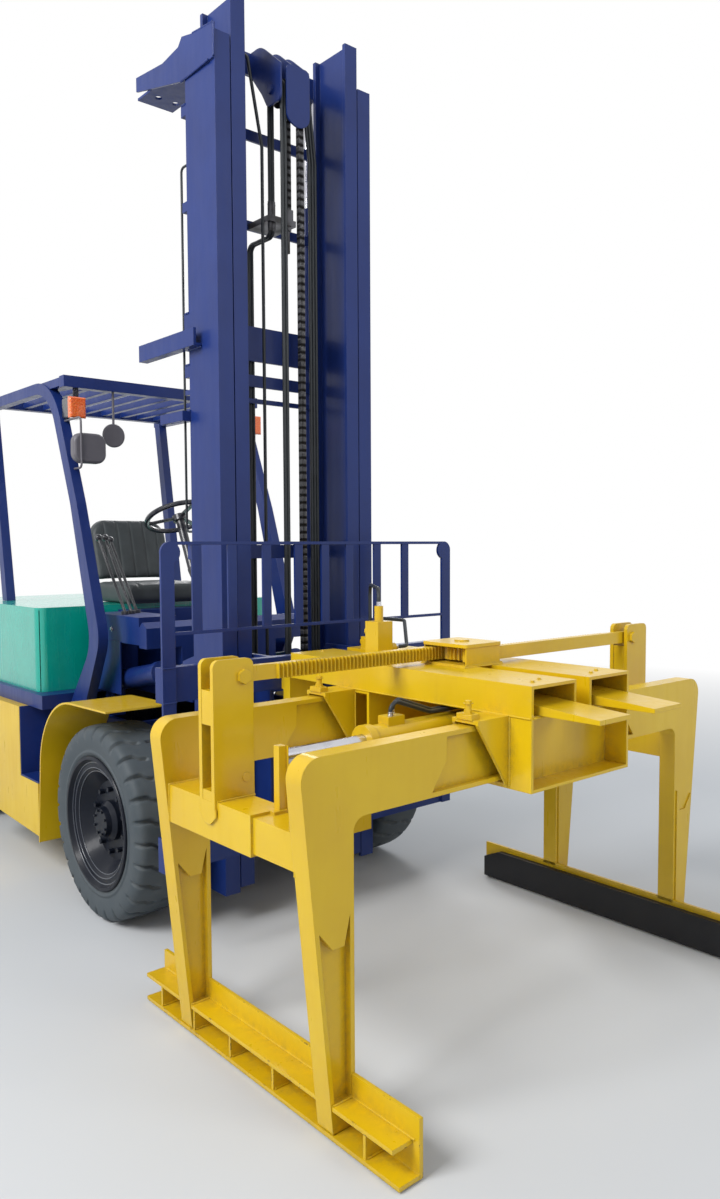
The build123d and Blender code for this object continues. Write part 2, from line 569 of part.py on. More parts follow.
# Blocks on the crosshead and on the lower tie that hold the ends of the hoses inside the mast
BUNDLE_TOP = {"left": (88, 152), "right": (-196, -156)}
BUNDLE_FOOT = {"left": (134, 190), "right": (-124, -84)}
for side in ("left", "right"):
    inner.append(box(*BUNDLE_TOP[side], REAR_Y - 32, REAR_Y - 1, 3562, 3606))
    inner.append(box(*BUNDLE_FOOT[side], REAR_Y - 32, REAR_Y - 1, 376, 420))
node("inner_mast", fuse(inner))


def sheave(x, half, groove_r):
    """A grooved wheel on the hanger's shaft: half the groove's width and its bottom radius."""
    a, b, flange = x - half, x + half, 4
    return ring_x([(SHEAVE_SHAFT_R, a - flange), (SHEAVE_R, a - flange), (SHEAVE_R, a), (groove_r, a), (groove_r, b),
                   (SHEAVE_R, b), (SHEAVE_R, b + flange), (SHEAVE_SHAFT_R, b + flange)], SHEAVE_Y, SHEAVE_Z)


HOSE_MID_X = sum(HOSE_PAIR_X) / 2
node("sheaves", sheave(CHAIN_X, CHAIN_W / 2 + 1, STRAND_R - CHAIN_T / 2 - 0.3),
     sheave(HOSE_MID_X, HOSE_MID_X - HOSE_PAIR_X[0] + HOSE_R + 2.5, STRAND_R - HOSE_R - 0.3))

# Lift cylinders behind the rails: barrels on the outer mast, rods under the inner mast's crosshead
barrels = []
for s in (-1, 1):
    barrels.append(fuse([cyl_z(LIFT_R, 520, 3100, s * LIFT_X, LIFT_Y),
                         box(s * (LIFT_X - 40), s * (LIFT_X + 40), REAR_Y + 36, LIFT_Y + 36, 480, 521)]).cut(
                             cyl_z(25.3, 540, 3101, s * LIFT_X, LIFT_Y)))
node("lift_barrels", barrels)
node("lift_rods", [cyl_z(25, 560, 3590, s * LIFT_X, LIFT_Y) for s in (-1, 1)])

# Tilt cylinders: barrel's rear pin, rod's eye at the mast ear
tilt_dir = Vector(0, TILT_EYE[0] - TILT_REAR[0], TILT_EYE[1] - TILT_REAR[1])
tilt_len = tilt_dir.length
for s, name in ((-1, "right"), (1, "left")):
    axis = Plane(origin=(s * TILT_X, TILT_REAR[0], TILT_REAR[1]), x_dir=(1, 0, 0), z_dir=tilt_dir.normalized())
    low = (Align.CENTER, Align.CENTER, Align.MIN)
    can = axis * (Pos(0, 0, 70) * Cylinder(48, 390, align=low))
    tail = axis * (Pos(0, 0, 45) * Box(40, 40, 60))
    neck = axis * (Pos(0, 0, 440) * Cylinder(54, 36, align=low))
    eye = cyl_x(32, s * (TILT_X - 20), s * (TILT_X + 20), *TILT_REAR)
    barrel = fuse([can, tail, neck, eye]).cut(axis * (Pos(0, 0, 110) * Cylinder(24.3, 500, align=low)))
    barrel = barrel.cut(cyl_x(15.3, s * (TILT_X - 30), s * (TILT_X + 30), *TILT_REAR))
    node("tilt_barrel_" + name, barrel)
    ram = fuse([axis * (Pos(0, 0, 260) * Cylinder(24, tilt_len - 260 - 56, align=low)),
                axis * (Pos(0, 0, tilt_len - 44) * Box(20, 34, 40))])
    tip = cyl_x(34, s * (TILT_X - 10), s * (TILT_X + 10), *TILT_EYE)
    ram = fuse([ram, tip]).cut(cyl_x(16, s * (TILT_X - 30), s * (TILT_X + 30), *TILT_EYE))
    node("tilt_rod_" + name, ram)

# Leaf chain: front strand to the carriage, rear strand to its anchor, and the turn over the sheave
STRAND_Y = {"front": SHEAVE_Y - STRAND_R, "rear": SHEAVE_Y + STRAND_R}
CHAIN_FOOT_Z = {"front": 905, "rear": 2990}


def chain_run(y, z0, z1):
    """A straight run of leaf chain: leaves side by side, deeper than the rows of pins between them."""
    core = box(CHAIN_X - CHAIN_W / 2, CHAIN_X + CHAIN_W / 2, y - CHAIN_T / 2 + 5, y + CHAIN_T / 2 - 5, z0, z1)
    leaf = CHAIN_W / (2 * CHAIN_LEAVES - 1)
    leaves = []
    for k in range(CHAIN_LEAVES):
        x = CHAIN_X - CHAIN_W / 2 + 2 * k * leaf
        leaves.append(box(x, x + leaf, y - CHAIN_T / 2, y + CHAIN_T / 2, z0, z1))
    return fuse([core] + leaves)


for side in ("front", "rear"):
    node(side + "_chains", chain_run(STRAND_Y[side], CHAIN_FOOT_Z[side], SHEAVE_Z))
    node("hose_strands_" + side, [cyl_z(HOSE_R, CHAIN_FOOT_Z[side], SHEAVE_Z, x, STRAND_Y[side])
                                  for x in HOSE_PAIR_X])
# The chain's links are straight, so its turn is a row of flats round the sheave
TURN_FLATS = 8
turn_step = math.pi / TURN_FLATS
turn = []
for r, order in ((STRAND_R + CHAIN_T / 2, 1), (STRAND_R - CHAIN_T / 2, -1)):
    corner_r = r / math.cos(turn_step / 2)
    arc = [(r, 0)] + [(corner_r, (k + 0.5) * turn_step) for k in range(TURN_FLATS)] + [(r, math.pi)]
    turn += [(SHEAVE_Y + q * math.cos(a), SHEAVE_Z + q * math.sin(a)) for q, a in arc[::order]]
node("chain_turn", side_plate(turn, CHAIN_X - CHAIN_W / 2, CHAIN_X + CHAIN_W / 2))

# Anchor arm on the outer mast's upper tie: threaded rod with its nut and clevis, and the hoses' bulkhead fittings
y = STRAND_Y["rear"]
arm = [box(HOSE_PAIR_X[0] - 18, CHAIN_X + 29, y - 20, REAR_Y + 24, *ANCHOR_Z),
       box(CHAIN_X - 18, CHAIN_X + 18, y - 16, y + 16, ANCHOR_Z[1] - 1, CHAIN_FOOT_Z["rear"]),
       cyl_z(9, 2809, ANCHOR_Z[0] + 1, CHAIN_X, y),
       extrude(Pos(CHAIN_X, y, ANCHOR_Z[0] - 18) * RegularPolygon(17, 6), 19)]
arm += [cyl_z(10, ANCHOR_Z[0] - 20, CHAIN_FOOT_Z["rear"], x, y) for x in HOSE_PAIR_X]
node("chain_anchors", fuse(arm))


def tube(points, r, bend):
    """A round hose or pipe along straight runs joined by arcs."""
    line = FilletPolyline(points, radius=bend)
    return sweep(Plane(origin=line @ 0, z_dir=line % 0) * Circle(r), line)


# Hoses inside the inner mast: over the sheave, three down its left side and one down its right side
turns = []
upper = box(-200, 200, SHEAVE_Y - 100, SHEAVE_Y + 100, SHEAVE_Z, SHEAVE_Z + 100)
for x in HOSE_PAIR_X:
    ring = Plane(origin=(x, SHEAVE_Y, SHEAVE_Z), z_dir=(1, 0, 0)) * Torus(STRAND_R, HOSE_R)
    turns.append(ring & upper)
# x at the crosshead and x at the lower tie
HOSE_RUNS = ((103, 146), (119, 162), (135, 178), (-176, -104))
BUNDLE_R = 7
bundle = []
for top_x, foot_x in HOSE_RUNS:
    y0, y1 = REAR_Y - 32, -320
    bundle.append(tube([(top_x, y0, 3582), (top_x, y1, 3582), (foot_x, y1, 3220), (foot_x, y1, 398),
                        (foot_x, y0, 398)], BUNDLE_R, 36))
node("mast_hoses", turns, bundle)

# Pipes behind the outer mast: the pair from the bulkhead down to a block on the lower tie, and a thin one by the rail
PIPE_Y = -158
pipes = [tube([(x, y, ANCHOR_Z[0] - 20), (x, y, 2862), (x, PIPE_Y, 2862), (x, PIPE_Y, 544)], 7, 30)
         for x in HOSE_PAIR_X]
pipes.append(box(HOSE_PAIR_X[0] - 18, HOSE_PAIR_X[1] + 18, REAR_Y + 36, PIPE_Y + 12, 480, 545))
x = -MAST_HALF + 6
thin = tube([(x, REAR_Y, 1616), (x, PIPE_Y, 1616), (x, PIPE_Y, 3106), (x, REAR_Y, 3106)], 5, 20)
node("mast_pipes", fuse(pipes), thin)

# Carriage: side plates in the inner rails, two bars across the front and its posts

carriage = []
for s in (-1, 1):
    carriage.append(side_plate([(CARRIAGE_FACE_Y + 30, 345), (CARRIAGE_FACE_Y + 30, 1110), (-300, 1110), (-230, 1000),
                                (-230, 460), (-300, 345)], s * 232, s * 250))
    carriage += [cyl_x(88, s * 249, s * 280, -320, z) for z in (480, 960)]
for z0, z1 in ((345, 475), (980, 1110)):
    carriage.append(box(-BACKREST_HALF, BACKREST_HALF, CARRIAGE_FACE_Y, CARRIAGE_FACE_Y + 45, z0, z1))
# Uprights between the bars, and the arm that holds the chain's and the hoses' front ends
y = STRAND_Y["front"]
carriage += [box(x - 20, x + 20, CARRIAGE_FACE_Y + 1, CARRIAGE_FACE_Y + 41, 470, 985) for x in (HOSE_MID_X, CHAIN_X)]
carriage += [box(HOSE_PAIR_X[0] - 18, CHAIN_X + 20, CARRIAGE_FACE_Y + 40, y + 20, 852, 880),
             box(CHAIN_X - 15, CHAIN_X + 15, y - 15, y + 15, 879, CHAIN_FOOT_Z["front"])]
carriage += [cyl_z(10, 879, CHAIN_FOOT_Z["front"], x, y) for x in HOSE_PAIR_X]
node("carriage", fuse(carriage))

posts = []
for s in (-1, 1):
    posts.append(box(s * 700, s * BACKREST_HALF, CARRIAGE_FACE_Y - 12, CARRIAGE_FACE_Y, 345, 1540))
    posts.append(cyl_y(40, CARRIAGE_FACE_Y - 12, CARRIAGE_FACE_Y, s * 714, 1532))
rods = [box(-712, 712, CARRIAGE_FACE_Y - 12, CARRIAGE_FACE_Y, BACKREST_TOP_Z - 12, BACKREST_TOP_Z),
        box(-710, 710, CARRIAGE_FACE_Y - 12, CARRIAGE_FACE_Y, BACKREST_MID_Z - 12, BACKREST_MID_Z)]
SLATS = (-604, -448, -287, -130, 8, 139, 298, 465)
bars = [box(x - 20, x + 20, CARRIAGE_FACE_Y - 11, CARRIAGE_FACE_Y - 1, BACKREST_MID_Z - 11, BACKREST_TOP_Z - 1) for x
        in SLATS]
node("backrest", fuse(posts + rods + bars))

# Forks: the blades lie in the clamp's pockets, the shanks hang on the carriage bars
forks = []
for s in (-1, 1):
    x0, x1 = s * FORK_X[0], s * FORK_X[1]
    blade = side_plate([(FORK_FACE_Y - 1, FORK_Z[0]), (FORK_FACE_Y - 1, FORK_Z[1]), (-1700, FORK_Z[1]),
                        (FORK_TIP_Y, FORK_Z[0] + 14), (FORK_TIP_Y, FORK_Z[0])], x0, x1)
    shank = box(x0, x1, FORK_FACE_Y - 45, FORK_FACE_Y - 1, 330, FORK_Z[1])
    hooks = [box(x0, x1, FORK_FACE_Y - 2, CARRIAGE_FACE_Y, z0, z1) for z0, z1 in ((345, 475), (980, 1087))]
    forks.append(fuse([blade, shank] + hooks))
node("forks", forks)

# Clamp frame, with the place of the coupler block on its left pocket
COUPLER_X = (40, 110)
COUPLER_Y = (-845, -770)
COUPLER_TOP_Z = 1188

frame = []
for s in (-1, 1):
    x0, x1 = POCKET_X
    outside = box(s * x0, s * x1, POCKET_Y[0], POCKET_Y[1], *POCKET_Z)
    hole = box(s * (x0 + POCKET_T), s * (x1 - POCKET_T), POCKET_Y[0] - 1, POCKET_Y[1] + 1, POCKET_Z[0] + 7,
               POCKET_Z[1] - POCKET_T)
    frame.append(outside.cut(hole))
    # End plate of the front channel
    frame.append(box(s * x1, s * (x1 - 10), CHANNEL_FRONT_Y, -1787, CHANNEL_Z[0], POCKET_Z[0]))
x1 = POCKET_X[1]
frame += [box(-x1, x1, -1787, -1787 + GUIDE_T, CHANNEL_Z[0], POCKET_Z[0]),
          box(-x1, x1, CHANNEL_FRONT_Y, -1780, CHANNEL_Z[0], CHANNEL_Z[0] + 10),
          box(-50, 50, -1800, -760, POCKET_Z[0], POCKET_Z[0] + 10)]
# Guide boxes: y of the front wall, y of the rear wall
for y0, y1 in ((-1787, -1609), (-1149, -971)):
    frame += [box(-x1, x1, y0, y0 + GUIDE_T, CHANNEL_Z[0], POCKET_Z[0]),
              box(-x1, x1, y1 - GUIDE_T, y1, CHANNEL_Z[0], POCKET_Z[0]),
              box(-x1, x1, y0, y1, CHANNEL_Z[0], CHANNEL_Z[0] + 14),
              box(-x1, x1, y0, y1, 1028, POCKET_Z[0])]
# Mouths round each arm
for s, front, rear, *_ in SIDES.values():
    for y in (front, rear):
        for w in (y - 8 - GUIDE_T, y + ARM_T + 8):
            if w > -1787 - 1:
                frame.append(front_plate([(s * (x1 - 1), 1040), (s * MOUTH_X, 1040), (s * MOUTH_X, 1026),
                                          (s * (x1 - 1), CHANNEL_Z[0])], w, w + GUIDE_T))
        frame.append(box(s * (x1 - 1), s * MOUTH_X, y - 8 - GUIDE_T, y + ARM_T + 8 + GUIDE_T, 1028, 1040))
        frame.append(fuse([box(s * (MOUTH_X - 30), s * (MOUTH_X + 4), y + 2, y + ARM_T - 2, 1039, 1056),
                           cyl_z(10, 1055, 1085, s * (MOUTH_X - 14), y + ARM_T / 2)]))
# Junction blocks under the middle plate, where the cylinders' hoses end, and the coupler block on the pocket
for y in (-1500, -1230):
    frame.append(box(-40, 40, y - 28, y + 28, 1002, POCKET_Z[0] + 1))
frame.append(box(*COUPLER_X, *COUPLER_Y, POCKET_Z[1] - 1, COUPLER_TOP_Z))
frame.append(cyl_y(14, COUPLER_Y[1] - 1, COUPLER_Y[1] + 30, sum(COUPLER_X) / 2, COUPLER_TOP_Z - 25))
frame.append(box(-200, 200, -1610, -1148, 818, 830))
frame += both(box(200, 212, -1610, -1148, 818, 900))
node("clamp_frame", fuse(frame))

# Gearbox over the pinion, open at both ends for the racks
GEARBOX_HALF = 94
GEARBOX_WALL = 10
GEARBOX_TOP_Z = 1216
gy0, gy1 = PINION_Y - 105, PINION_Y + 105
tunnel_z = (1146, 1204)
shell = box(-GEARBOX_HALF + 8, GEARBOX_HALF - 8, gy0 + 4, gy1 - 4, POCKET_Z[1], tunnel_z[1] + 2)
shell = shell.cut(box(-GEARBOX_HALF, GEARBOX_HALF, gy0 + GEARBOX_WALL, gy1 - GEARBOX_WALL, *tunnel_z))
lid = box(-GEARBOX_HALF, GEARBOX_HALF, gy0, gy1, tunnel_z[1], GEARBOX_TOP_Z)
lid = fillet(lid.edges().filter_by(Axis.Z), 14)
sill = box(-GEARBOX_HALF, GEARBOX_HALF, gy0, gy1, POCKET_Z[1], tunnel_z[0])
boss = cyl_z(26, GEARBOX_TOP_Z - 1, GEARBOX_TOP_Z + 6, 0, PINION_Y)
node("gearbox", fuse([shell, lid, sill, boss, cyl_z(14, tunnel_z[0] - 1, tunnel_z[1] + 1, 0, PINION_Y)]))

# Tooth depth below and above the pitch line, and half widths at root and tip as parts of half a pitch
ROOT, TIP = 6.0, 4.6
ROOT_W, TIP_W = 0.74, 0.20
PITCH_R = TOOTH_PITCH * PINION_TEETH / (2 * math.pi)


def pinion():
    pts = []
    for k in range(PINION_TEETH):
        a = 2 * math.pi * k / PINION_TEETH
        w = math.pi / PINION_TEETH
        for r, d in ((PITCH_R - ROOT, -ROOT_W * w), (PITCH_R + TIP, -TIP_W * w), (PITCH_R + TIP, TIP_W * w),
                     (PITCH_R - ROOT, ROOT_W * w)):
            pts.append((r * math.cos(a + d), r * math.sin(a + d)))
    face = make_face(Polyline([(x, PINION_Y + y, 1154) for x, y in pts], close=True))
    solid = Solid.extrude(face.face(), Vector(0, 0, 42))
    return solid.cut(cyl_z(14.3, 1100, 1250, 0, PINION_Y))


node("pinion", pinion())

# Valve block on the frame
block = fuse([box(-190, -120, -1130, -1060, POCKET_Z[1], 1280), cyl_z(16, 1279, 1335, -155, -1095),
              cyl_y(14, -1061, -1030, -155, 1240), cyl_x(16, -121, -80, -1095, 1180)])
node("valve_block", block)

# Clamp cylinders: barrels on the frame, rods to the lugs on the cross beams
# (side, y of the axis)
CYLINDERS = {"right": -1500, "left": -1230}
CYL_Z = 965
PORT_Z = CYL_Z + 66
barrels = []
for name, y in CYLINDERS.items():
    s = SIDES[name][0]
    can = cyl_x(44, s * 110, s * 585, y, CYL_Z)
    head = cyl_x(50, s * 560, s * 590, y, CYL_Z)
    port = box(s * 436, s * 504, y - 24, y + 24, CYL_Z + 30, PORT_Z)
    foot = box(s * 130, s * 190, y - 30, y + 30, 830, CYL_Z)
    barrels.append(fuse([can, head, port, foot]).cut(cyl_x(22.3, s * 125, s * 600, y, CYL_Z)))
node("clamp_barrels", barrels)

# Hoses of the clamp: a pair from each cylinder's port block, arched and then under the pocket to a block below the
# frame's middle plate, and two from the valve to the coupler
HOSE_UNDER_Z = 1024
JUNCTION_HALF = 40
clamp_hoses = []
for name, y in CYLINDERS.items():
    s = SIDES[name][0]
    for dx, dy in ((486, -13), (454, 13)):
        clamp_hoses.append(tube([(s * dx, y + dy, PORT_Z), (s * dx, y + dy, PORT_Z + 52),
                                 (s * (dx - 170), y + dy, HOSE_UNDER_Z), (s * JUNCTION_HALF, y + dy, HOSE_UNDER_Z)],
                                BUNDLE_R, 28))
x, y, z = (COUPLER_X[0] + 18, COUPLER_Y[0] + 38, COUPLER_TOP_Z)
clamp_hoses.append(tube([(-155, -1095, 1335), (-155, -1095, 1398), (x, y, 1398), (x, y, z)], BUNDLE_R, 45))
x = COUPLER_X[1] - 18
clamp_hoses.append(tube([(-80, -1095, 1180), (-15, -1095, 1180), (x, -970, 1262), (x, y, 1262), (x, y, z)],
                        BUNDLE_R, 26))
node("clamp_hoses", clamp_hoses)

# Clamp arms, feet, pads, towers and racks of both sides. An arm is a plated bar at its inner part and an I-section
# from there round the bend and half way down the leg
ARM_BEND = 60
FLANGE = 14
RECESS = 22


def leg_outer(z):
    """x of the leg's outer edge at a height."""
    return LEG_OUTER_FOOT_X + (z - 20) * (ARM_OUTER_TOP_X - LEG_OUTER_FOOT_X) / (ARM_Z[1] - 80)


for name, (s, front, rear, foot_y, tower_y, tooth_side) in SIDES.items():
    arms = []
    top_x = leg_outer(ARM_Z[1])
    outline = [(s * x, *rest) for x, *rest in (
        (ARM_INNER_END_X, ARM_Z[0]), (ARM_INNER_END_X, ARM_Z[1]), (top_x, ARM_Z[1], ARM_BEND),
        (LEG_OUTER_FOOT_X, 20), (FOOT_WEB_X[1], 20), (FOOT_WEB_X[1], FOOT_WEB_Z), (LEG_INNER_X, FOOT_WEB_Z),
        (LEG_INNER_X, ARM_Z[0], ARM_BEND - 22))]
    t = FLANGE
    recess = [(s * x, *rest) for x, *rest in (
        (500, ARM_Z[1] - t), (top_x - t, ARM_Z[1] - t, ARM_BEND - t), (leg_outer(565) - t, 565), (925, 512), (885, 512),
        (LEG_INNER_X + t, 592), (LEG_INNER_X + t, ARM_Z[0] + t, ARM_BEND - 8), (560, ARM_Z[0] + t), (500, 938))]
    for y in (front, rear):
        arm = front_plate(outline, y, y + ARM_T)
        for y0 in (y - 1, y + ARM_T - RECESS):
            arm = arm.cut(front_plate(recess, y0, y0 + RECESS + 1))
        arms.append(arm)
    # Cross beam between the two arms, its rear stretch a size larger
    y_step = front + ARM_T + 200 if s < 0 else front + ARM_T + 190
    x0, x1 = BEAM_X
    arms.append(box(s * x0, s * x1, rear, y_step, *BEAM_Z))
    arms.append(box(s * (x0 + 8), s * (x1 - 8), y_step, front + ARM_T, BEAM_Z[0] + 8, BEAM_Z[1] - 8))
    # Lug for the clamp cylinder's rod
    cy = CYLINDERS[name]
    arms.append(box(s * 880, s * 930, cy - 22, cy + 22, BEAM_Z[1] - 9, CYL_Z + 34))
    arms.append(cyl_x(22, s * 385, s * 881, cy, CYL_Z))

    y0, y1 = foot_y, foot_y + FOOT_LENGTH
    web = side_plate([(y0, FOOT_BOTTOM_Z), (y0, 100), (y0 + 110, FOOT_WEB_Z), (y1 - 110, FOOT_WEB_Z), (y1, 100),
                      (y1, FOOT_BOTTOM_Z)], s * FOOT_WEB_X[0], s * FOOT_WEB_X[1])
    a, b = FOOT_WEB_X[1] - 1, LEG_OUTER_FOOT_X
    shelf = [(s * a, y0), (s * (a + 14), y0), (s * b, y0 + 60), (s * b, y1 - 60), (s * (a + 14), y1), (s * a, y1)]
    base = flat_plate(shelf, FOOT_BOTTOM_Z, FOOT_BOTTOM_Z + 14)
    top = flat_plate(shelf, FOOT_FLANGE_Z - 12, FOOT_FLANGE_Z)
    for y in (front, rear):
        top = top.cut(box(s * FOOT_WEB_X[1], s * 1000, y, y + ARM_T, 20, 200))
    ribs = [box(s * FOOT_WEB_X[0], s * (LEG_OUTER_FOOT_X - 6), y, y + 10, 10, FOOT_FLANGE_Z - 4)
            for y in (y0 + 90, front + 130, front + 300, front + 470, rear + 130)]
    node("foot_" + name, fuse([web, base, top] + ribs))
    a, b = y0 + PAD_SETBACK, y1 - 10
    node("pad_" + name, side_plate([(a, PAD_Z[0]), (a, PAD_Z[1] - 24), (a + 55, PAD_Z[1]), (b - 85, PAD_Z[1]),
                                    (b, PAD_Z[1] - 37), (b, PAD_Z[0])], s * (FOOT_WEB_X[0] - PAD_T), s * FOOT_WEB_X[0]))

    # Tower: two plates with rounded tops, spacers that leave a window and the clevis, and a strap down over the
    # beam's outer face with a pointed end
    x0, x1 = TOWER_X
    half = TOWER_W / 2
    y0, y1 = tower_y - half, tower_y + half
    plates = [front_plate([(s * x0, BEAM_Z[1] - 1), (s * x0, TOWER_TOP_Z, 22), (s * x1, TOWER_TOP_Z, 22),
                           (s * x1, BEAM_Z[1] - 1)], a, b) for a, b in ((y0, y0 + 16), (y1 - 16, y1))]
    spacers = [box(s * (x0 + 4), s * (x1 - 1), y0 + 15, y1 - 15, a, b) for a, b in ((BEAM_Z[1] - 1, 850), (1040, 1140))]
    strap = side_plate([(y0, BEAM_Z[1]), (y1, BEAM_Z[1]), (y1, TOWER_BOTTOM_Z + 22), (tower_y + 14, TOWER_BOTTOM_Z),
                        (tower_y - 14, TOWER_BOTTOM_Z), (y0, TOWER_BOTTOM_Z + 22)], s * (BEAM_X[1] - 1), s * x1)
    pin = [cyl_y(14, y0 - 6, y1 + 6, s * 900, 1175)]
    pin += [Plane(origin=(s * 900, y, 1175), z_dir=(0, 1, 0)) * extrude(RegularPolygon(23, 6), 12)
            for y in (y0 - 12, y1)]
    plug = cyl_y(14, y0 - 3, y1 + 3, s * 893, 878)
    node("arms_" + name, fuse(arms + plates + spacers + [strap, plug] + pin))

    # Rack: bar from the tower's pin into the gearbox, teeth on the side that faces the pinion
    t = 18
    tip_y = PINION_Y - tooth_side * (PITCH_R - TIP)
    back_y = tip_y - tooth_side * (2 * t)
    root_y = tip_y - tooth_side * (ROOT + TIP)
    # The pinion has a gap at the middle, so a rack tooth stands there
    profile = [(-930, root_y)]
    for k in range(-int(RACK_TEETH_X / TOOTH_PITCH), 4):
        c, w = k * TOOTH_PITCH, TOOTH_PITCH / 2
        profile += [(c - ROOT_W * w, root_y), (c - TIP_W * w, tip_y), (c + TIP_W * w, tip_y), (c + ROOT_W * w, root_y)]
    profile += [(62, root_y), (62, back_y), (-930, back_y)]
    bar = flat_plate([(s * -1 * x, y) for x, y in profile], *RACK_Z)
    bar = bar.cut(cyl_y(14.3, -3000, 0, s * 900, 1175))
    node("rack_" + name, bar)

for name, shape in nodes.items():
    export_step(shape, f"parts/{name}.step")
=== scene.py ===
# %% [markdown]
# A clamp forklift: a counterbalanced truck with a tall mast, and on its forks a yellow clamp frame that
# squeezes a load between two long padded feet. Every rigid form is already a solid of the frame, in metres,
# so this file gives those solids their paint, rubber and steel, and adds what is too small or too soft for
# them.

# %% Load the frame
import json
import math

import bpy
import bmesh
from mathutils import Matrix, Vector


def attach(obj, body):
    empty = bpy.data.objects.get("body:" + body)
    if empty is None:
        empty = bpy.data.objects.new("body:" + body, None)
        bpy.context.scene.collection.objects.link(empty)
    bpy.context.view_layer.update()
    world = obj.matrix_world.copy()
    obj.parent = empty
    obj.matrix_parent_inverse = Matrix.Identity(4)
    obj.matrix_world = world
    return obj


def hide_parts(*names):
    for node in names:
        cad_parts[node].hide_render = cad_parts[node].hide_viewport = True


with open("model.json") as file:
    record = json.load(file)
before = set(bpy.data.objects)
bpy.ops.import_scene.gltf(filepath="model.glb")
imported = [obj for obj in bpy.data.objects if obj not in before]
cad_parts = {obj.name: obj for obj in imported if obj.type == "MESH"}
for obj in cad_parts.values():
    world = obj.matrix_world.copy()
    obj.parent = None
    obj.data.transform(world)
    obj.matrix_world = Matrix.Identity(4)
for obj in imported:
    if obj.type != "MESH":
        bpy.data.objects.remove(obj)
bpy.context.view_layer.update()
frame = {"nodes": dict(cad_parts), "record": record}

scene = bpy.context.scene
cad = frame["nodes"]

# %% [markdown]
# The camera stands in front of the truck's right corner at eye level and is held upright. Its lens is given
# by the height of the frame, and its turn by three angles.

# %% Camera
CAMERA_PLACE = (-2.3746, -3.7842, 1.550)
CAMERA_YAW, CAMERA_PITCH, CAMERA_ROLL = math.radians(40.892), math.radians(3.306), math.radians(-0.296)
lens = bpy.data.cameras.new("camera")
lens.sensor_fit, lens.sensor_height, lens.lens = "VERTICAL", 36.0, 27.498
lens.clip_end = 200.0
camera = bpy.data.objects.new("camera", lens)
scene.collection.objects.link(camera)
camera.matrix_world = (Matrix.Translation(CAMERA_PLACE)
                       @ Matrix.Rotation(-CAMERA_YAW, 4, "Z")
                       @ Matrix.Rotation(math.pi / 2 - CAMERA_PITCH, 4, "X")
                       @ Matrix.Rotation(CAMERA_ROLL, 4, "Z"))
scene.camera = camera
scene.view_settings.view_transform = "Standard"
print("camera looks along", [round(v, 3) for v in camera.matrix_world.to_quaternion() @ Vector((0, 0, -1))])

# %% [markdown]
# A studio of a pale floor and a white sky. The sky is bright only for the camera and for what gloss
# mirrors, so that paint shows a clean highlight while its colour stays as written.


# %% Floor, sky and lamps
def node(tree, kind, inputs=None, **settings):
    """Adds a node. inputs maps a socket's name or number to a value or to another node's output."""
    made = tree.nodes.new(kind)
    for name, value in settings.items():
        setattr(made, name, value)
    for name, value in (inputs or {}).items():
        if isinstance(value, bpy.types.NodeSocket):
            tree.links.new(value, made.inputs[name])
        else:
            made.inputs[name].default_value = value
    return made


def background_ray(tree):
    """1 for rays from the camera, or by way of gloss or glass, and 0 for those that light the object."""
    ray = node(tree, "ShaderNodeLightPath")
    first = node(tree, "ShaderNodeMath", {0: ray.outputs["Is Camera Ray"], 1: ray.outputs["Is Glossy Ray"]},
                 operation="MAXIMUM")
    return node(tree, "ShaderNodeMath", {0: first.outputs[0], 1: ray.outputs["Is Transmission Ray"]},
                operation="MAXIMUM").outputs[0]


world = bpy.data.worlds.new("sky")
scene.world = world
world.use_nodes = True
sky = world.node_tree
sky.nodes.clear()
soft = node(sky, "ShaderNodeBackground", {"Color": (0.86, 0.92, 1.0, 1.0), "Strength": 0.50})
white = node(sky, "ShaderNodeBackground", {"Color": (1.0, 1.0, 1.0, 1.0), "Strength": 1.0})
mixed = node(sky, "ShaderNodeMixShader", {0: background_ray(sky), 1: soft.outputs[0], 2: white.outputs[0]})
node(sky, "ShaderNodeOutputWorld", {"Surface": mixed.outputs[0]})

floor_mesh = bpy.data.meshes.new("floor")
floor_mesh.from_pydata([(-9, -9, 0), (9, -9, 0), (9, 9, 0), (-9, 9, 0)], [], [(0, 1, 2, 3)])
floor = bpy.data.objects.new("floor", floor_mesh)
scene.collection.objects.link(floor)
floor_paint = bpy.data.materials.new("floor")
floor_paint.use_nodes = True
tree = floor_paint.node_tree
tree.nodes.clear()
pale = node(tree, "ShaderNodeBsdfDiffuse", {"Color": (0.62, 0.63, 0.64, 1.0)})
fade_place = node(tree, "ShaderNodeTexCoord")
fade_length = node(tree, "ShaderNodeVectorMath", {0: fade_place.outputs["Object"]}, operation="LENGTH")
fade = node(tree, "ShaderNodeMapRange",
            {"Value": fade_length.outputs["Value"], "From Min": 3.2, "From Max": 8.5})
far_white = node(tree, "ShaderNodeMath", {0: fade.outputs[0], 1: background_ray(tree)}, operation="MULTIPLY")
glow = node(tree, "ShaderNodeEmission", {"Color": (1.0, 1.0, 1.0, 1.0), "Strength": 1.0})
floor_mix = node(tree, "ShaderNodeMixShader",
                 {0: far_white.outputs[0], 1: pale.outputs[0], 2: glow.outputs[0]})
node(tree, "ShaderNodeOutputMaterial", {"Surface": floor_mix.outputs[0]})
floor_mesh.materials.append(floor_paint)

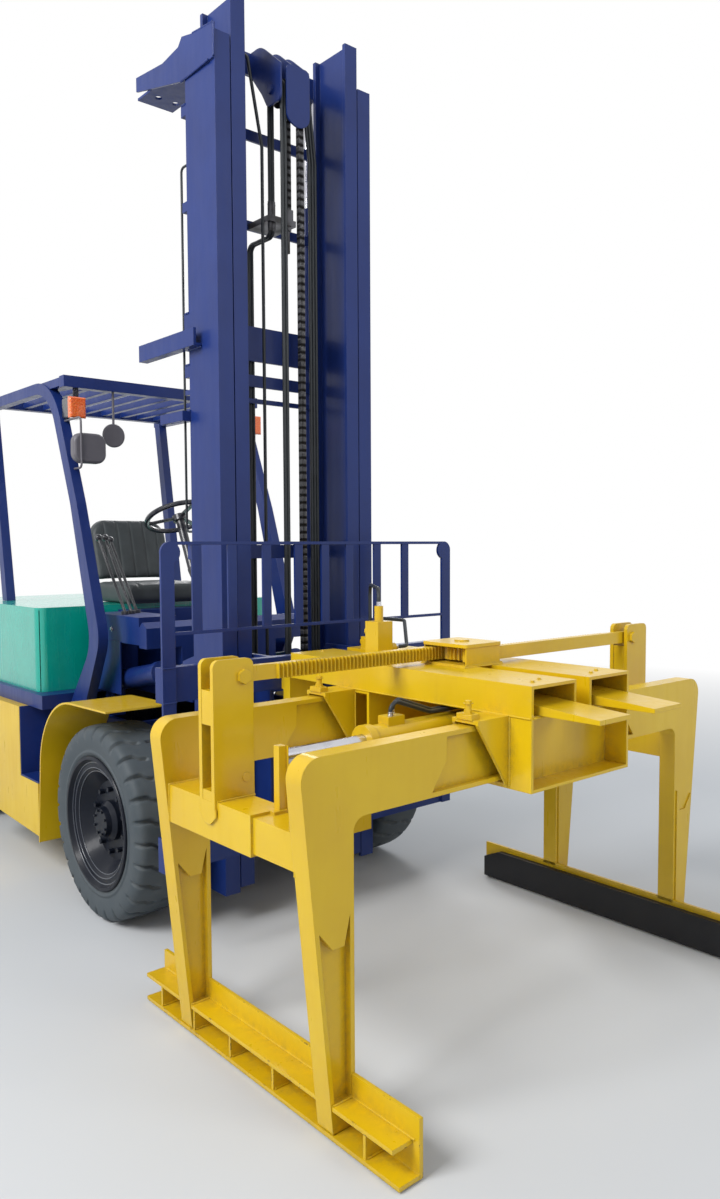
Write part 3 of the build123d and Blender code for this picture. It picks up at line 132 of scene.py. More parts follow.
# name, place, aimed at, size, watts
LAMPS = (("key", (-6.4, -1.2, 6.0), (0.0, -0.3, 1.2), 3.6, 560.0),
         ("front", (1.0, -7.0, 4.5), (0.0, -0.5, 1.0), 3.0, 90.0),
         ("rear", (4.5, 5.5, 5.5), (0.0, 0.5, 1.5), 3.0, 260.0))
for name, place, target, size, watts in LAMPS:
    light = bpy.data.lights.new(name, "AREA")
    light.energy, light.size = watts, size
    lamp = bpy.data.objects.new(name, light)
    scene.collection.objects.link(lamp)
    lamp.location = place
    lamp.rotation_euler = (Vector(target) - Vector(place)).to_track_quat("-Z", "Y").to_euler()
print("lamps:", [row[0] for row in LAMPS])

# %% [markdown]
# Paint on a machine like this was brushed and sprayed over welds. Three things make it read as enamel and
# not as coloured plastic: the colour drifts a little from place to place, the surface has a fine ripple
# that breaks up highlights, and a corner colour is painted in where two plates meet: dust on the dark
# paints, and painted shade on the yellow and the green, where it is darker than the paint. A Bevel node
# rounds the light at every edge, which the flat solids lack.


# %% Enamel
def object_place(tree, stretch=(1.0, 1.0, 1.0)):
    """The point on the object, scaled along each axis."""
    place = node(tree, "ShaderNodeTexCoord")
    return node(tree, "ShaderNodeMapping", {"Vector": place.outputs["Object"], "Scale": stretch}).outputs[0]


def noise(tree, place, scale, detail=3.0, roughness=0.5):
    return node(tree, "ShaderNodeTexNoise", {"Vector": place, "Scale": scale, "Detail": detail,
                                             "Roughness": roughness}).outputs["Fac"]


def between(tree, value, low, high, out_low=0.0, out_high=1.0):
    return node(tree, "ShaderNodeMapRange", {"Value": value, "From Min": low, "From Max": high,
                                             "To Min": out_low, "To Max": out_high}).outputs[0]


def mix_colour(tree, amount, a, b, blend="MIX"):
    made = node(tree, "ShaderNodeMix", {0: amount}, data_type="RGBA", blend_type=blend)
    for socket, value in ((6, a), (7, b)):
        if isinstance(value, bpy.types.NodeSocket):
            tree.links.new(value, made.inputs[socket])
        else:
            made.inputs[socket].default_value = (*value, 1.0)
    return made.outputs[2]


def times(tree, a, b):
    return node(tree, "ShaderNodeMath", {0: a, 1: b}, operation="MULTIPLY").outputs[0]


def finish(name, metallic=0.0, coat=0.0, coat_rough=0.1, specular=0.5, sheen=0.0):
    """A material with its Principled shader, and that shader."""
    material = bpy.data.materials.new(name)
    material.use_nodes = True
    shader = material.node_tree.nodes["Principled BSDF"]
    for socket, value in (("Metallic", metallic), ("Coat Weight", coat), ("Coat Roughness", coat_rough),
                          ("Specular IOR Level", specular), ("Sheen Weight", sheen)):
        shader.inputs[socket].default_value = value
    return material, shader


def enamel(name, colour, drift, corner_colour, rough=0.34, coat=0.35, ripple=0.10, corner_weight=0.55, edge=0.003):
    """Brushed enamel: its colour, the colour it drifts to, and the colour painted into its corners, dust
    where it is lighter than the paint and painted shade where it is darker.
    """
    material, shader = finish(name, coat=coat, coat_rough=0.12)
    tree = material.node_tree
    place = object_place(tree)
    patches = between(tree, noise(tree, place, 2.6, 4.0, 0.6), 0.35, 0.72)
    body = mix_colour(tree, patches, colour, drift)
    streaks = noise(tree, object_place(tree, (1.0, 1.0, 0.12)), 34.0, 3.0, 0.6)
    body = mix_colour(tree, between(tree, streaks, 0.52, 0.80, 0.0, 0.35), body, drift)
    # Ambient occlusion finds the corners, and there the paint is mixed towards the corner colour: painted
    # shade where that is darker than the paint, dust where it is lighter.
    corners = node(tree, "ShaderNodeAmbientOcclusion", {"Distance": 0.07}, samples=6)
    in_corner = between(tree, corners.outputs["AO"], 0.42, 0.92, 1.0, 0.0)
    grain = between(tree, noise(tree, place, 38.0, 5.0, 0.7), 0.36, 0.66)
    dust_and_shade = times(tree, times(tree, in_corner, grain), corner_weight)
    tree.links.new(mix_colour(tree, dust_and_shade, body, corner_colour), shader.inputs["Base Color"])
    tree.links.new(between(tree, streaks, 0.3, 0.8, rough - 0.07, rough + 0.12), shader.inputs["Roughness"])
    soft_edge = node(tree, "ShaderNodeBevel", {"Radius": edge}, samples=4)
    peel = noise(tree, place, 210.0, 2.0)
    bump = node(tree, "ShaderNodeBump", {"Strength": ripple, "Distance": 0.0012, "Height": peel,
                                         "Normal": soft_edge.outputs[0]})
    wave = node(tree, "ShaderNodeBump", {"Strength": ripple, "Distance": 0.006,
                                         "Height": noise(tree, place, 16.0, 2.0), "Normal": bump.outputs[0]})
    tree.links.new(wave.outputs[0], shader.inputs["Normal"])
    return material


# The clamp's colour, the one it drifts to, and the far darker colour of its corners, which is painted shade
YELLOW = ((0.74, 0.490, 0.004), (0.66, 0.41, 0.004), (0.28, 0.20, 0.05))
clamp_yellow = enamel("clamp_yellow", *YELLOW, coat=0.22)
truck_blue = enamel("truck_blue", (0.006, 0.022, 0.135), (0.010, 0.031, 0.172), (0.035, 0.045, 0.09),
                    rough=0.38, coat=0.10, corner_weight=0.22)
# Its corner colour is darker than the green: painted shade in the corners
hood_green = enamel("hood_green", (0.0, 0.400, 0.300), (0.0, 0.340, 0.255), (0.08, 0.24, 0.19),
                    rough=0.24, coat=0.6, corner_weight=0.25)
black_paint = enamel("black_paint", (0.012, 0.013, 0.020), (0.020, 0.021, 0.028), (0.10, 0.095, 0.09),
                     rough=0.30, coat=0.35, corner_weight=0.45)
rim_black = enamel("rim_black", (0.004, 0.006, 0.012), (0.007, 0.009, 0.016), (0.020, 0.024, 0.030),
                   rough=0.36, coat=0.12, corner_weight=0.25)
# The rolled edges are painted lighter and glossier than the rim: the lighter colour is a painted highlight,
# the gloss catches the lamps
rim_edge = enamel("rim_edge", (0.020, 0.026, 0.040), (0.030, 0.036, 0.052), (0.03, 0.035, 0.045),
                  rough=0.22, coat=0.7, corner_weight=0.15)
# These two paints are duller than the others, so they mirror less of the sky
for material, shine in ((rim_black, 0.15), (truck_blue, 0.32)):
    material.node_tree.nodes["Principled BSDF"].inputs["Specular IOR Level"].default_value = shine

# The feet are dragged over floors, so their paint is chipped through to brown steel along the edges
# Its corners get the same painted shade as the clamp's
foot_yellow = enamel("foot_yellow", *YELLOW, coat=0.22)
tree = foot_yellow.node_tree
shader = tree.nodes["Principled BSDF"]
true_face = node(tree, "ShaderNodeNewGeometry").outputs["True Normal"]
soft_face = node(tree, "ShaderNodeBevel", {"Radius": 0.007}, samples=8).outputs[0]
likeness = node(tree, "ShaderNodeVectorMath", {0: true_face, 1: soft_face},
                operation="DOT_PRODUCT").outputs["Value"]
at_edge = between(tree, likeness, 0.995, 0.90)
flakes = between(tree, noise(tree, object_place(tree), 23.0, 6.0, 0.75), 0.57, 0.62)
painted = shader.inputs["Base Color"].links[0].from_socket
tree.links.new(mix_colour(tree, times(tree, at_edge, flakes), painted, (0.105, 0.045, 0.020)),
               shader.inputs["Base Color"])
enamels = (clamp_yellow, truck_blue, hood_green, black_paint, rim_black, rim_edge, foot_yellow)
print("enamels:", [m.name for m in enamels])

# %% [markdown]
# Rubber is never black in daylight: it is a blue grey under a film of pale dust, which lies thicker in the
# hollows of the tread than on the flanks.


# %% Rubber
def rubber(name, colour, corner_colour, corner_weight, rough, fine=0.25):
    material, shader = finish(name, specular=0.35)
    tree = material.node_tree
    place = object_place(tree)
    cloud = between(tree, noise(tree, place, 7.0, 6.0, 0.65), 0.38, 0.70)
    corners = node(tree, "ShaderNodeAmbientOcclusion", {"Distance": 0.03}, samples=4)
    hollow = between(tree, corners.outputs["AO"], 0.3, 0.9, 1.0, 0.25)
    tree.links.new(mix_colour(tree, times(tree, times(tree, cloud, hollow), corner_weight), colour, corner_colour),
                   shader.inputs["Base Color"])
    tree.links.new(between(tree, cloud, 0.0, 1.0, rough - 0.08, rough + 0.10), shader.inputs["Roughness"])
    soft_edge = node(tree, "ShaderNodeBevel", {"Radius": 0.004}, samples=4)
    bump = node(tree, "ShaderNodeBump", {"Strength": fine, "Distance": 0.0015,
                                         "Height": noise(tree, place, 260.0, 4.0, 0.7),
                                         "Normal": soft_edge.outputs[0]})
    tree.links.new(bump.outputs[0], shader.inputs["Normal"])
    return material


tyre_rubber = rubber("tyre_rubber", (0.052, 0.066, 0.076), (0.19, 0.20, 0.20), 0.8, 0.62)
pad_rubber = rubber("pad_rubber", (0.010, 0.010, 0.012), (0.06, 0.06, 0.06), 0.5, 0.45)
hose_rubber = rubber("hose_rubber", (0.018, 0.022, 0.026), (0.10, 0.11, 0.12), 0.6, 0.42, 0.1)
print("rubbers:", [m.name for m in (tyre_rubber, pad_rubber, hose_rubber)])

# %% [markdown]
# Bare steel shows where parts slide: rods are ground and chromed, chains and sheaves are oily and dark.
# Both get a fine grain that runs across the light.


# %% Steel
def steel(name, colour, dark, rough, metallic=1.0):
    material, shader = finish(name, metallic=metallic)
    tree = material.node_tree
    place = object_place(tree)
    oil = between(tree, noise(tree, place, 12.0, 5.0, 0.6), 0.40, 0.68)
    tree.links.new(mix_colour(tree, oil, colour, dark), shader.inputs["Base Color"])
    tree.links.new(between(tree, oil, 0.0, 1.0, rough, rough + 0.18), shader.inputs["Roughness"])
    grain = noise(tree, object_place(tree, (1.0, 1.0, 0.05)), 420.0, 2.0)
    soft_edge = node(tree, "ShaderNodeBevel", {"Radius": 0.001}, samples=4)
    bump = node(tree, "ShaderNodeBump", {"Strength": 0.08, "Distance": 0.0006, "Height": grain,
                                         "Normal": soft_edge.outputs[0]})
    tree.links.new(bump.outputs[0], shader.inputs["Normal"])
    return material


bright_steel = steel("bright_steel", (0.60, 0.60, 0.63), (0.46, 0.46, 0.50), 0.16)
oily_steel = steel("oily_steel", (0.10, 0.10, 0.11), (0.05, 0.048, 0.045), 0.38)
print("steels:", bright_steel.name, oily_steel.name)

# %% [markdown]
# Chains can't be separate links here, because a strand shortens as the mast comes down. Its side plates are
# drawn as bands across the strand instead: the height dips once in every link.

# %% Leaf chain
CHAIN_PITCH, LEAF_GAP = 0.03175, 0.006
chain_steel, shader = finish("chain_steel", metallic=1.0)
tree = chain_steel.node_tree
place = node(tree, "ShaderNodeTexCoord")
height = node(tree, "ShaderNodeSeparateXYZ", {0: place.outputs["Object"]}).outputs["Z"]
turn = times(tree, height, 2 * math.pi / CHAIN_PITCH)
waist = between(tree, node(tree, "ShaderNodeMath", {0: turn}, operation="SINE").outputs[0], -1.0, 0.2)
across = node(tree, "ShaderNodeSeparateXYZ", {0: place.outputs["Object"]}).outputs["X"]
leaf = node(tree, "ShaderNodeMath", {0: times(tree, across, 2 * math.pi / LEAF_GAP)},
            operation="SINE").outputs[0]
shape = times(tree, waist, between(tree, leaf, -0.8, 0.2, 0.35, 1.0))
tree.links.new(mix_colour(tree, shape, (0.015, 0.014, 0.014), (0.15, 0.15, 0.16)),
               shader.inputs["Base Color"])
tree.links.new(between(tree, shape, 0.0, 1.0, 0.55, 0.34), shader.inputs["Roughness"])
bump = node(tree, "ShaderNodeBump", {"Strength": 0.9, "Distance": 0.004, "Height": shape})
tree.links.new(bump.outputs[0], shader.inputs["Normal"])
print("chain pitch in mm:", CHAIN_PITCH * 1000)

# %% [markdown]
# The record names a material slot for each solid, so one table from slot to finish dresses them all.

# %% Dress the solids
lens_orange, shader = finish("lens_orange", coat=0.8, coat_rough=0.05)
tree = lens_orange.node_tree
facets = node(tree, "ShaderNodeTexVoronoi", {"Vector": object_place(tree), "Scale": 130.0})
# The lens stands in front of a dark shell, which starts at this depth in metres
SHELL_FRONT = 0.4332
deep = node(tree, "ShaderNodeSeparateXYZ", {0: object_place(tree)}).outputs["Y"]
is_shell = between(tree, deep, SHELL_FRONT, SHELL_FRONT + 0.0006)
glass = mix_colour(tree, facets.outputs["Distance"], (0.90, 0.09, 0.01), (0.95, 0.22, 0.03))
tree.links.new(mix_colour(tree, is_shell, glass, (0.035, 0.035, 0.040)), shader.inputs["Base Color"])
tree.links.new(node(tree, "ShaderNodeBump", {"Strength": 0.5, "Distance": 0.002,
                                             "Height": facets.outputs["Distance"]}).outputs[0],
               shader.inputs["Normal"])
shader.inputs["Roughness"].default_value = 0.18

shell_grey, shader = finish("shell_grey")
tree = shell_grey.node_tree
patchy = noise(tree, object_place(tree), 30.0, 4.0)
tree.links.new(mix_colour(tree, patchy, (0.105, 0.100, 0.115), (0.14, 0.13, 0.145)),
               shader.inputs["Base Color"])
tree.links.new(node(tree, "ShaderNodeBump", {"Strength": 0.2, "Distance": 0.0006,
                                             "Height": noise(tree, object_place(tree), 900.0)}).outputs[0],
               shader.inputs["Normal"])
shader.inputs["Roughness"].default_value = 0.42

vinyl, shader = finish("seat_vinyl", sheen=0.15)
tree = vinyl.node_tree
pores = node(tree, "ShaderNodeTexVoronoi", {"Vector": object_place(tree), "Scale": 420.0})
worn = between(tree, noise(tree, object_place(tree), 9.0, 4.0), 0.4, 0.7)
tree.links.new(mix_colour(tree, worn, (0.020, 0.026, 0.028), (0.045, 0.054, 0.056)),
               shader.inputs["Base Color"])
tree.links.new(node(tree, "ShaderNodeBump", {"Strength": 0.35, "Distance": 0.0008,
                                             "Height": pores.outputs["Distance"]}).outputs[0],
               shader.inputs["Normal"])
tree.links.new(between(tree, worn, 0.0, 1.0, 0.50, 0.62), shader.inputs["Roughness"])

FINISH_OF_SLOT = {"yellow_paint": clamp_yellow, "blue_paint": truck_blue, "green_paint": hood_green,
                  "steel": oily_steel, "tyre": tyre_rubber, "rubber": pad_rubber, "black_paint": black_paint,
                  "seat_cover": vinyl, "lamp_lens": lens_orange, "mirror_back": shell_grey}
FINISH_OF_NODE = {}
for look, names in ((chain_steel, ("front_chains", "rear_chains", "chain_turn")),
                    (bright_steel, ("lift_rods", "tilt_rod_right", "tilt_rod_left")),
                    (rim_black, ("front_rim_right", "front_rim_left", "rear_rim_right", "rear_rim_left")),
                    (hose_rubber, ("clamp_hoses", "mast_hoses", "mast_pipes", "hose_strands_front",
                                   "hose_strands_rear"))):
    FINISH_OF_NODE.update(dict.fromkeys(names, look))
slot_of = {row["node"]: row["material_slot"] for row in frame["record"]["subparts"]}
for name, solid in cad.items():
    look = FINISH_OF_NODE.get(name, FINISH_OF_SLOT[slot_of[name]])
    for used in solid.material_slots:
        used.material = look
print("dressed:", len(cad), "solids")

# %% [markdown]
# Tyres, bolts and weld beads repeat one small shape many times. A tree of Geometry Nodes does that well: it
# takes a few points or one segment, copies it by a rule, makes the copies real and gives them their finish.
# The helpers below open such a tree, close it, and turn its result into a plain mesh that moves with a
# body.


# %% Helpers for shape trees
def open_tree(name, inputs):
    """A tree whose first input is a geometry and whose others are (name, kind of socket, value)."""
    tree = bpy.data.node_groups.new(name, "GeometryNodeTree")
    tree.interface.new_socket("Geometry", in_out="INPUT", socket_type="NodeSocketGeometry")
    tree.interface.new_socket("Geometry", in_out="OUTPUT", socket_type="NodeSocketGeometry")
    for label, kind, value in inputs:
        socket = tree.interface.new_socket(label, in_out="INPUT", socket_type="NodeSocket" + kind)
        if value is not None:
            socket.default_value = value
    return tree, node(tree, "NodeGroupInput").outputs


def close_tree(tree, geometry, paint, merge=None):
    """Makes the copies real, joins them where they meet, gives them the finish and sends them out."""
    real = node(tree, "GeometryNodeRealizeInstances", {0: geometry}).outputs[0]
    if merge:
        real = node(tree, "GeometryNodeMergeByDistance", {"Geometry": real, "Distance": merge}).outputs[0]
    done = node(tree, "GeometryNodeSetMaterial", {"Geometry": real, "Material": paint}).outputs[0]
    tree.links.new(done, node(tree, "NodeGroupOutput").inputs[0])


def math_node(tree, kind, a, b=0.0):
    return node(tree, "ShaderNodeMath", {0: a, 1: b}, operation=kind).outputs[0]


def plain_object(name, mesh, body=None, smooth=False):
    """An object at the origin that holds this mesh, and moves with a body."""
    made = bpy.data.objects.new(name, mesh)
    scene.collection.objects.link(made)
    if smooth:
        mesh.shade_smooth()
    if body:
        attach(made, body)
    return made


def grow(name, mesh, tree, values, body, smooth=False):
    """Runs a tree on a mesh and keeps the result as a plain mesh that moves with a body."""
    seed = plain_object(name + "_seed", mesh)
    grown = seed.modifiers.new("grow", "NODES")
    grown.node_group = tree
    for item in tree.interface.items_tree:
        if item.in_out == "INPUT" and item.name in values:
            grown[item.identifier] = values[item.name]
    bpy.context.view_layer.update()
    shape = bpy.data.meshes.new_from_object(seed.evaluated_get(bpy.context.evaluated_depsgraph_get()))
    seed.modifiers.remove(grown)
    bpy.data.objects.remove(seed)
    outward = bmesh.new()
    outward.from_mesh(shape)
    bmesh.ops.recalc_face_normals(outward, faces=outward.faces)
    outward.to_mesh(shape)
    outward.free()
    made = plain_object(name, shape, body, smooth)
    print(f"{name}: {sum(len(p.vertices) - 2 for p in shape.polygons)} triangles")
    return made


def from_axle(x, y, z):
    """A point in millimetres from the front axle's middle on the floor, as a point of the frame."""
    return Vector((x, y - 230.0, z)) / 1000


# %% [markdown]
# A solid tyre of this size has wide lugs with a jog half way in, and a rounded shoulder down which each
# groove runs for the width of a hand. One pitch of it, a lug and half a groove on either side, is a grid of
# rows across the tyre and columns along it. Its columns follow the groove, so that the walls stay crisp
# with few faces. The tree then turns that pitch round the axle as often as it fits.

# %% Tyres
# Rows of half a tyre from the middle of its tread to the rim, for a tyre as wide and tall as the front one:
# across, height above the axle, depth of a groove there, its jog along the tread in parts of a pitch
TYRE_ROWS = ((0, 407, 0, 0.25), (9, 407, 0, 0.25), (16, 407, 2, 0.25), (22, 407, 12, 0.24),
             (38, 406.8, 13, 0.22), (50, 406.6, 13, 0.18), (58, 406.3, 13, 0.10), (66, 406, 13, 0.03),
             (76, 405.4, 13, 0.0), (90, 404, 13, 0.0), (100, 401.5, 13, 0.0), (108, 397.5, 13, 0.0), (115, 391, 12.5, 0.0),
             (120, 383, 11, 0.0), (123, 374, 9, 0.0), (124.4, 366, 6.5, 0.0), (125, 359, 3, 0.0),
             (124.8, 352, 0, 0.0), (124, 342, 0, 0.0), (122.4, 330, 0, 0.0), (120.4, 318, 0, 0.0),
             (118.6, 308, 0, 0.0), (117.6, 302, 0, 0.0), (120.5, 300, 0, 0.0), (121.2, 296, 0, 0.0),
             (120.6, 292, 0, 0.0), (117.0, 289, 0, 0.0), (116.5, 279.2, 0, 0.0))
# The grooves are as much deeper than the rows say
GROOVE_DEPTH = 1.35
# Columns of one pitch, in parts of a pitch, and how deep the groove is there
TYRE_COLUMNS = ((0.0, 0), (0.13, 0), (0.26, 0), (0.36, 0), (0.395, 0.10), (0.42, 0.96), (0.46, 1), (0.5, 1),
                (0.54, 1), (0.58, 0.96), (0.605, 0.10), (0.64, 0), (0.74, 0), (0.87, 0), (1.0, 0))


def tyre_pitch(name, half_width, radius, rim_radius, count):
    """One pitch of a tyre round the x axis, from the inner side of the rim to the outer one."""
    wide, tall = half_width / 125, (radius - rim_radius - 0.2) / (407 - 279.2)
    rows = [(-across, height, depth, 0.5 - jog) for across, height, depth, jog in TYRE_ROWS[:0:-1]]
    rows += TYRE_ROWS
    profile = [Vector((across * wide, radius - (407 - height) * tall)) for across, height, _, _ in rows]
    mesh = bmesh.new()
    grid = []
    for i, (_, _, depth, jog) in enumerate(rows):
        along = profile[min(i + 1, len(rows) - 1)] - profile[max(i - 1, 0)]
        inward = Vector((along.y, -along.x)).normalized()
        line = []
        for part, deep in TYRE_COLUMNS:
            at = (profile[i] + inward * (GROOVE_DEPTH * depth * deep * tall)) / 1000
            turn = 2 * math.pi * (part + jog) / count
            line.append(mesh.verts.new((at.x, -at.y * math.sin(turn), -at.y * math.cos(turn))))
        grid.append(line)
    for low, high in zip(grid, grid[1:] + grid[:1]):
        for k in range(len(low) - 1):
            mesh.faces.new((low[k], low[k + 1], high[k + 1], high[k]))
    shape = bpy.data.meshes.new(name)
    mesh.to_mesh(shape)
    mesh.free()
    return shape


ring, given = open_tree("turn round an axle", (("Count", "Int", 28), ("Middle", "Vector", None),
                                               ("Finish", "Material", None)))
places = node(ring, "GeometryNodeMeshLine", {"Count": given["Count"], "Offset": (0.0, 0.0, 0.0)}).outputs[0]
step = math_node(ring, "DIVIDE", 2 * math.pi, given["Count"])
index = node(ring, "GeometryNodeInputIndex").outputs[0]
turned = node(ring, "FunctionNodeAxisAngleToRotation",
              {"Axis": (1.0, 0.0, 0.0), "Angle": math_node(ring, "MULTIPLY", index, step)})
copies = node(ring, "GeometryNodeInstanceOnPoints", {"Points": places, "Instance": given["Geometry"],
                                                     "Rotation": turned.outputs[0]}).outputs[0]
moved = node(ring, "GeometryNodeTransform", {"Geometry": copies, "Translation": given["Middle"]}).outputs[0]
close_tree(ring, moved, given["Finish"], merge=0.00003)

# node, body, half width, radius, rim's radius, lugs, middle
TYRES = (("front_tyre_right", "front_wheel_right", 125, 407, 279, 28, (-638, 0, 407)),
         ("front_tyre_left", "front_wheel_left", 125, 407, 279, 28, (638, 0, 407)),
         ("rear_tyre_right", "rear_wheel_right", 95, 338, 195, 22, (-565, 2000, 338)),
         ("rear_tyre_left", "rear_wheel_left", 95, 338, 195, 22, (565, 2000, 338)))
for cad_name, body, half_width, radius, rim_radius, count, middle in TYRES:
    pitch = tyre_pitch(cad_name + "_pitch", half_width, radius, rim_radius, count)
    values = {"Count": count, "Middle": from_axle(*middle), "Finish": tyre_rubber}
    tyre = grow(cad_name + "_lugs", pitch, ring, values, body, smooth=True)
    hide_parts(cad_name)

# %% [markdown]
# Bolts, nuts and hose ends are the same few shapes at many places. Each place is one vertex that knows
# where it points and how large it is. The tree stands a copy of the shape on each vertex, turned a little
# at random about its own axis, as a fitter leaves them.


# %% Tree for bolts and fittings
def turned_shape(name, profile, sides):
    """A closed shape of a few flat sides round z, from (radius, height) points."""
    mesh = bmesh.new()
    turns = [2 * math.pi * k / sides for k in range(sides)]
    rings = [[mesh.verts.new((r * math.cos(a), r * math.sin(a), z)) for a in turns] for r, z in profile]
    for low, high in zip(rings, rings[1:]):
        for k in range(sides):
            mesh.faces.new((low[k], low[(k + 1) % sides], high[(k + 1) % sides], high[k]))
    mesh.faces.new(rings[0][::-1])
    mesh.faces.new(rings[-1])
    shape = bpy.data.meshes.new(name)
    mesh.to_mesh(shape)
    mesh.free()
    return shape


scatter, given = open_tree("stand on points", (("Shape", "Object", None), ("Finish", "Material", None),
                                               ("Seed", "Int", 3)))
toward = node(scatter, "GeometryNodeInputNamedAttribute", {"Name": "toward"},
              data_type="FLOAT_VECTOR").outputs[0]
size = node(scatter, "GeometryNodeInputNamedAttribute", {"Name": "size"}, data_type="FLOAT").outputs[0]
upright = node(scatter, "FunctionNodeAlignRotationToVector", {"Vector": toward}, axis="Z").outputs[0]
chance = node(scatter, "FunctionNodeRandomValue", {2: 0.0, 3: math.pi, "Seed": given["Seed"]},
              data_type="FLOAT")
spun = node(scatter, "FunctionNodeAxisAngleToRotation",
            {"Axis": (0.0, 0.0, 1.0), "Angle": chance.outputs[1]}).outputs[0]
facing = node(scatter, "FunctionNodeRotateRotation", {"Rotation": upright, "Rotate By": spun},
              rotation_space="LOCAL").outputs[0]
template = node(scatter, "GeometryNodeObjectInfo", {"Object": given["Shape"]}).outputs["Geometry"]
copies = node(scatter, "GeometryNodeInstanceOnPoints", {"Points": given["Geometry"], "Instance": template,
                                                        "Rotation": facing, "Scale": size}).outputs[0]
close_tree(scatter, copies, given["Finish"])

# Shapes of radius 1 as (radius, height) points, and how many sides they have: a bolt head on its washer, a
# nut with its bolt's end, a hose's ferrule
SHAPES = {"bolt": (((1.45, -0.05), (1.45, 0.16), (1.0, 0.17), (1.0, 0.72), (0.82, 0.88)), 6),
          "nut": (((1.5, -0.05), (1.5, 0.14), (1.0, 0.15), (1.0, 0.85), (0.62, 0.9), (0.62, 1.5),
                   (0.5, 1.62)), 6),
          "ferrule": (((1.0, -0.1), (1.28, 0.0), (1.28, 0.7), (1.05, 0.75), (1.16, 0.9), (1.16, 1.9),
                       (1.0, 2.0)), 10)}
UP, DOWN, RIGHT, LEFT, AHEAD = (0, 0, 1), (0, 0, -1), (-1, 0, 0), (1, 0, 0), (0, -1, 0)
# side, its sign, front arm, rear arm, foot's front end, tower's middle and clamp cylinder along the truck
CLAMP = (("right", -1, -1765, -1055, -2020, -1291, -1500), ("left", 1, -1693, -1130, -1987, -1427, -1230))
ARM_T = 65
# Rows of (x, y, z in mm from the axle, direction, radius in mm)
mouth_bolts = [(s * 376, y + ARM_T / 2, 1056, UP, 13) for _, s, *arms_y in CLAMP for y in arms_y[:2]]
mouth_heads = [(x, y, 1085, UP, 11) for x, y, *_ in mouth_bolts]
pocket_screws = [(s * 150 + dx, y, 1138, UP, 6) for s in (-1, 1)
                 for dx, y in ((-30, -1815), (34, -1790), (20, -735))]
hose_ends = [(s * dx, rod_y + dy, 1031, UP, 7) for _, s, *_, rod_y in CLAMP
             for dx, dy in ((486, -13), (454, 13))]
hose_ends += [(-155, -1095, 1335, UP, 8), (58, -807, 1188, UP, 8), (-80, -1095, 1180, LEFT, 8),
              (92, -807, 1188, UP, 8)]
front_ends = [(x, -410, 905, UP, 8.5) for x in (-66, -50)]
rear_ends = [(x, -320, 2990, UP, 8.5) for x in (-66, -50)]
rear_ends += [(x, -320, 2900, DOWN, 8) for x in (-66, -50)]
bundle_ends = [(x, -240, 3582, AHEAD, 8) for x in (103, 119, 135, -176)]
bundle_ends += [(x, -240, 398, AHEAD, 8) for x in (146, 162, 178, -104)]
# piece, shape, body, finish, places
FITTINGS = (("mouth_nuts", "nut", "carriage_body", clamp_yellow, mouth_bolts),
            ("mouth_heads", "bolt", "carriage_body", clamp_yellow, mouth_heads),
            ("pocket_screws", "bolt", "carriage_body", clamp_yellow, pocket_screws),
            ("panel_bolt", "bolt", "chassis", bright_steel, [(-441, 470, 1168, RIGHT, 9)]),
            ("clamp_hose_ends", "ferrule", "carriage_body", bright_steel, hose_ends),
            ("front_hose_ends", "ferrule", "carriage_body", oily_steel, front_ends),
            ("rear_hose_ends", "ferrule", "mast_outer", oily_steel, rear_ends),
            ("bundle_ends", "ferrule", "mast_inner", oily_steel, bundle_ends))


def stand_on_points(name, shape, body, paint, rows):
    """Copies of a shape at these places, as one piece."""
    points = bpy.data.meshes.new(name + "_points")
    points.from_pydata([from_axle(*row[:3]) for row in rows], [], [])
    for label, kind in (("toward", "FLOAT_VECTOR"), ("size", "FLOAT")):
        points.attributes.new(label, kind, "POINT")
    for i, (_, _, _, direction, radius) in enumerate(rows):
        points.attributes["toward"].data[i].vector = direction
        points.attributes["size"].data[i].value = radius / 1000
    pattern = plain_object(shape + "_pattern", turned_shape(shape, *SHAPES[shape]))
    made = grow(name, points, scatter, {"Shape": pattern, "Finish": paint, "Seed": len(rows)}, body)
    bpy.data.objects.remove(pattern)
    return made


for row in FITTINGS:
    stand_on_points(*row)

# %% [markdown]
# The frame, the arms and the mast are welded by hand, and the beads show wherever two plates meet. A bead
# is a thin round tube that follows the joint, thicker and thinner in even ripples, half of it sunk in the
# corner. The tree walks along each line in short steps and sets the tube's width from the length walked.

# %% Weld beads
weld, given = open_tree("weld along lines", (("Radius", "Float", 0.004), ("Step", "Float", 0.003),
                                             ("Ripple", "Float", 0.007), ("Seed", "Int", 5),
                                             ("Finish", "Material", None)))
line = node(weld, "GeometryNodeMeshToCurve", {"Mesh": given["Geometry"]}).outputs[0]
line = node(weld, "GeometryNodeResampleCurve", {"Curve": line, "Length": given["Step"]},
            mode="LENGTH").outputs[0]
walked = node(weld, "GeometryNodeSplineParameter").outputs["Length"]
wave = math_node(weld, "SINE", math_node(weld, "DIVIDE", math_node(weld, "MULTIPLY", walked, 2 * math.pi),
                                         given["Ripple"]))
uneven = node(weld, "FunctionNodeRandomValue", {2: 0.86, 3: 1.14, "Seed": given["Seed"]},
              data_type="FLOAT").outputs[1]
width = math_node(weld, "MULTIPLY", between(weld, wave, -1.0, 1.0, 0.80, 1.08), uneven)
section = node(weld, "GeometryNodeCurvePrimitiveCircle",
               {"Resolution": 6, "Radius": given["Radius"]}).outputs[0]
bead = node(weld, "GeometryNodeCurveToMesh", {"Curve": line, "Profile Curve": section, "Scale": width,
                                              "Fill Caps": True}).outputs[0]
close_tree(weld, bead, given["Finish"])


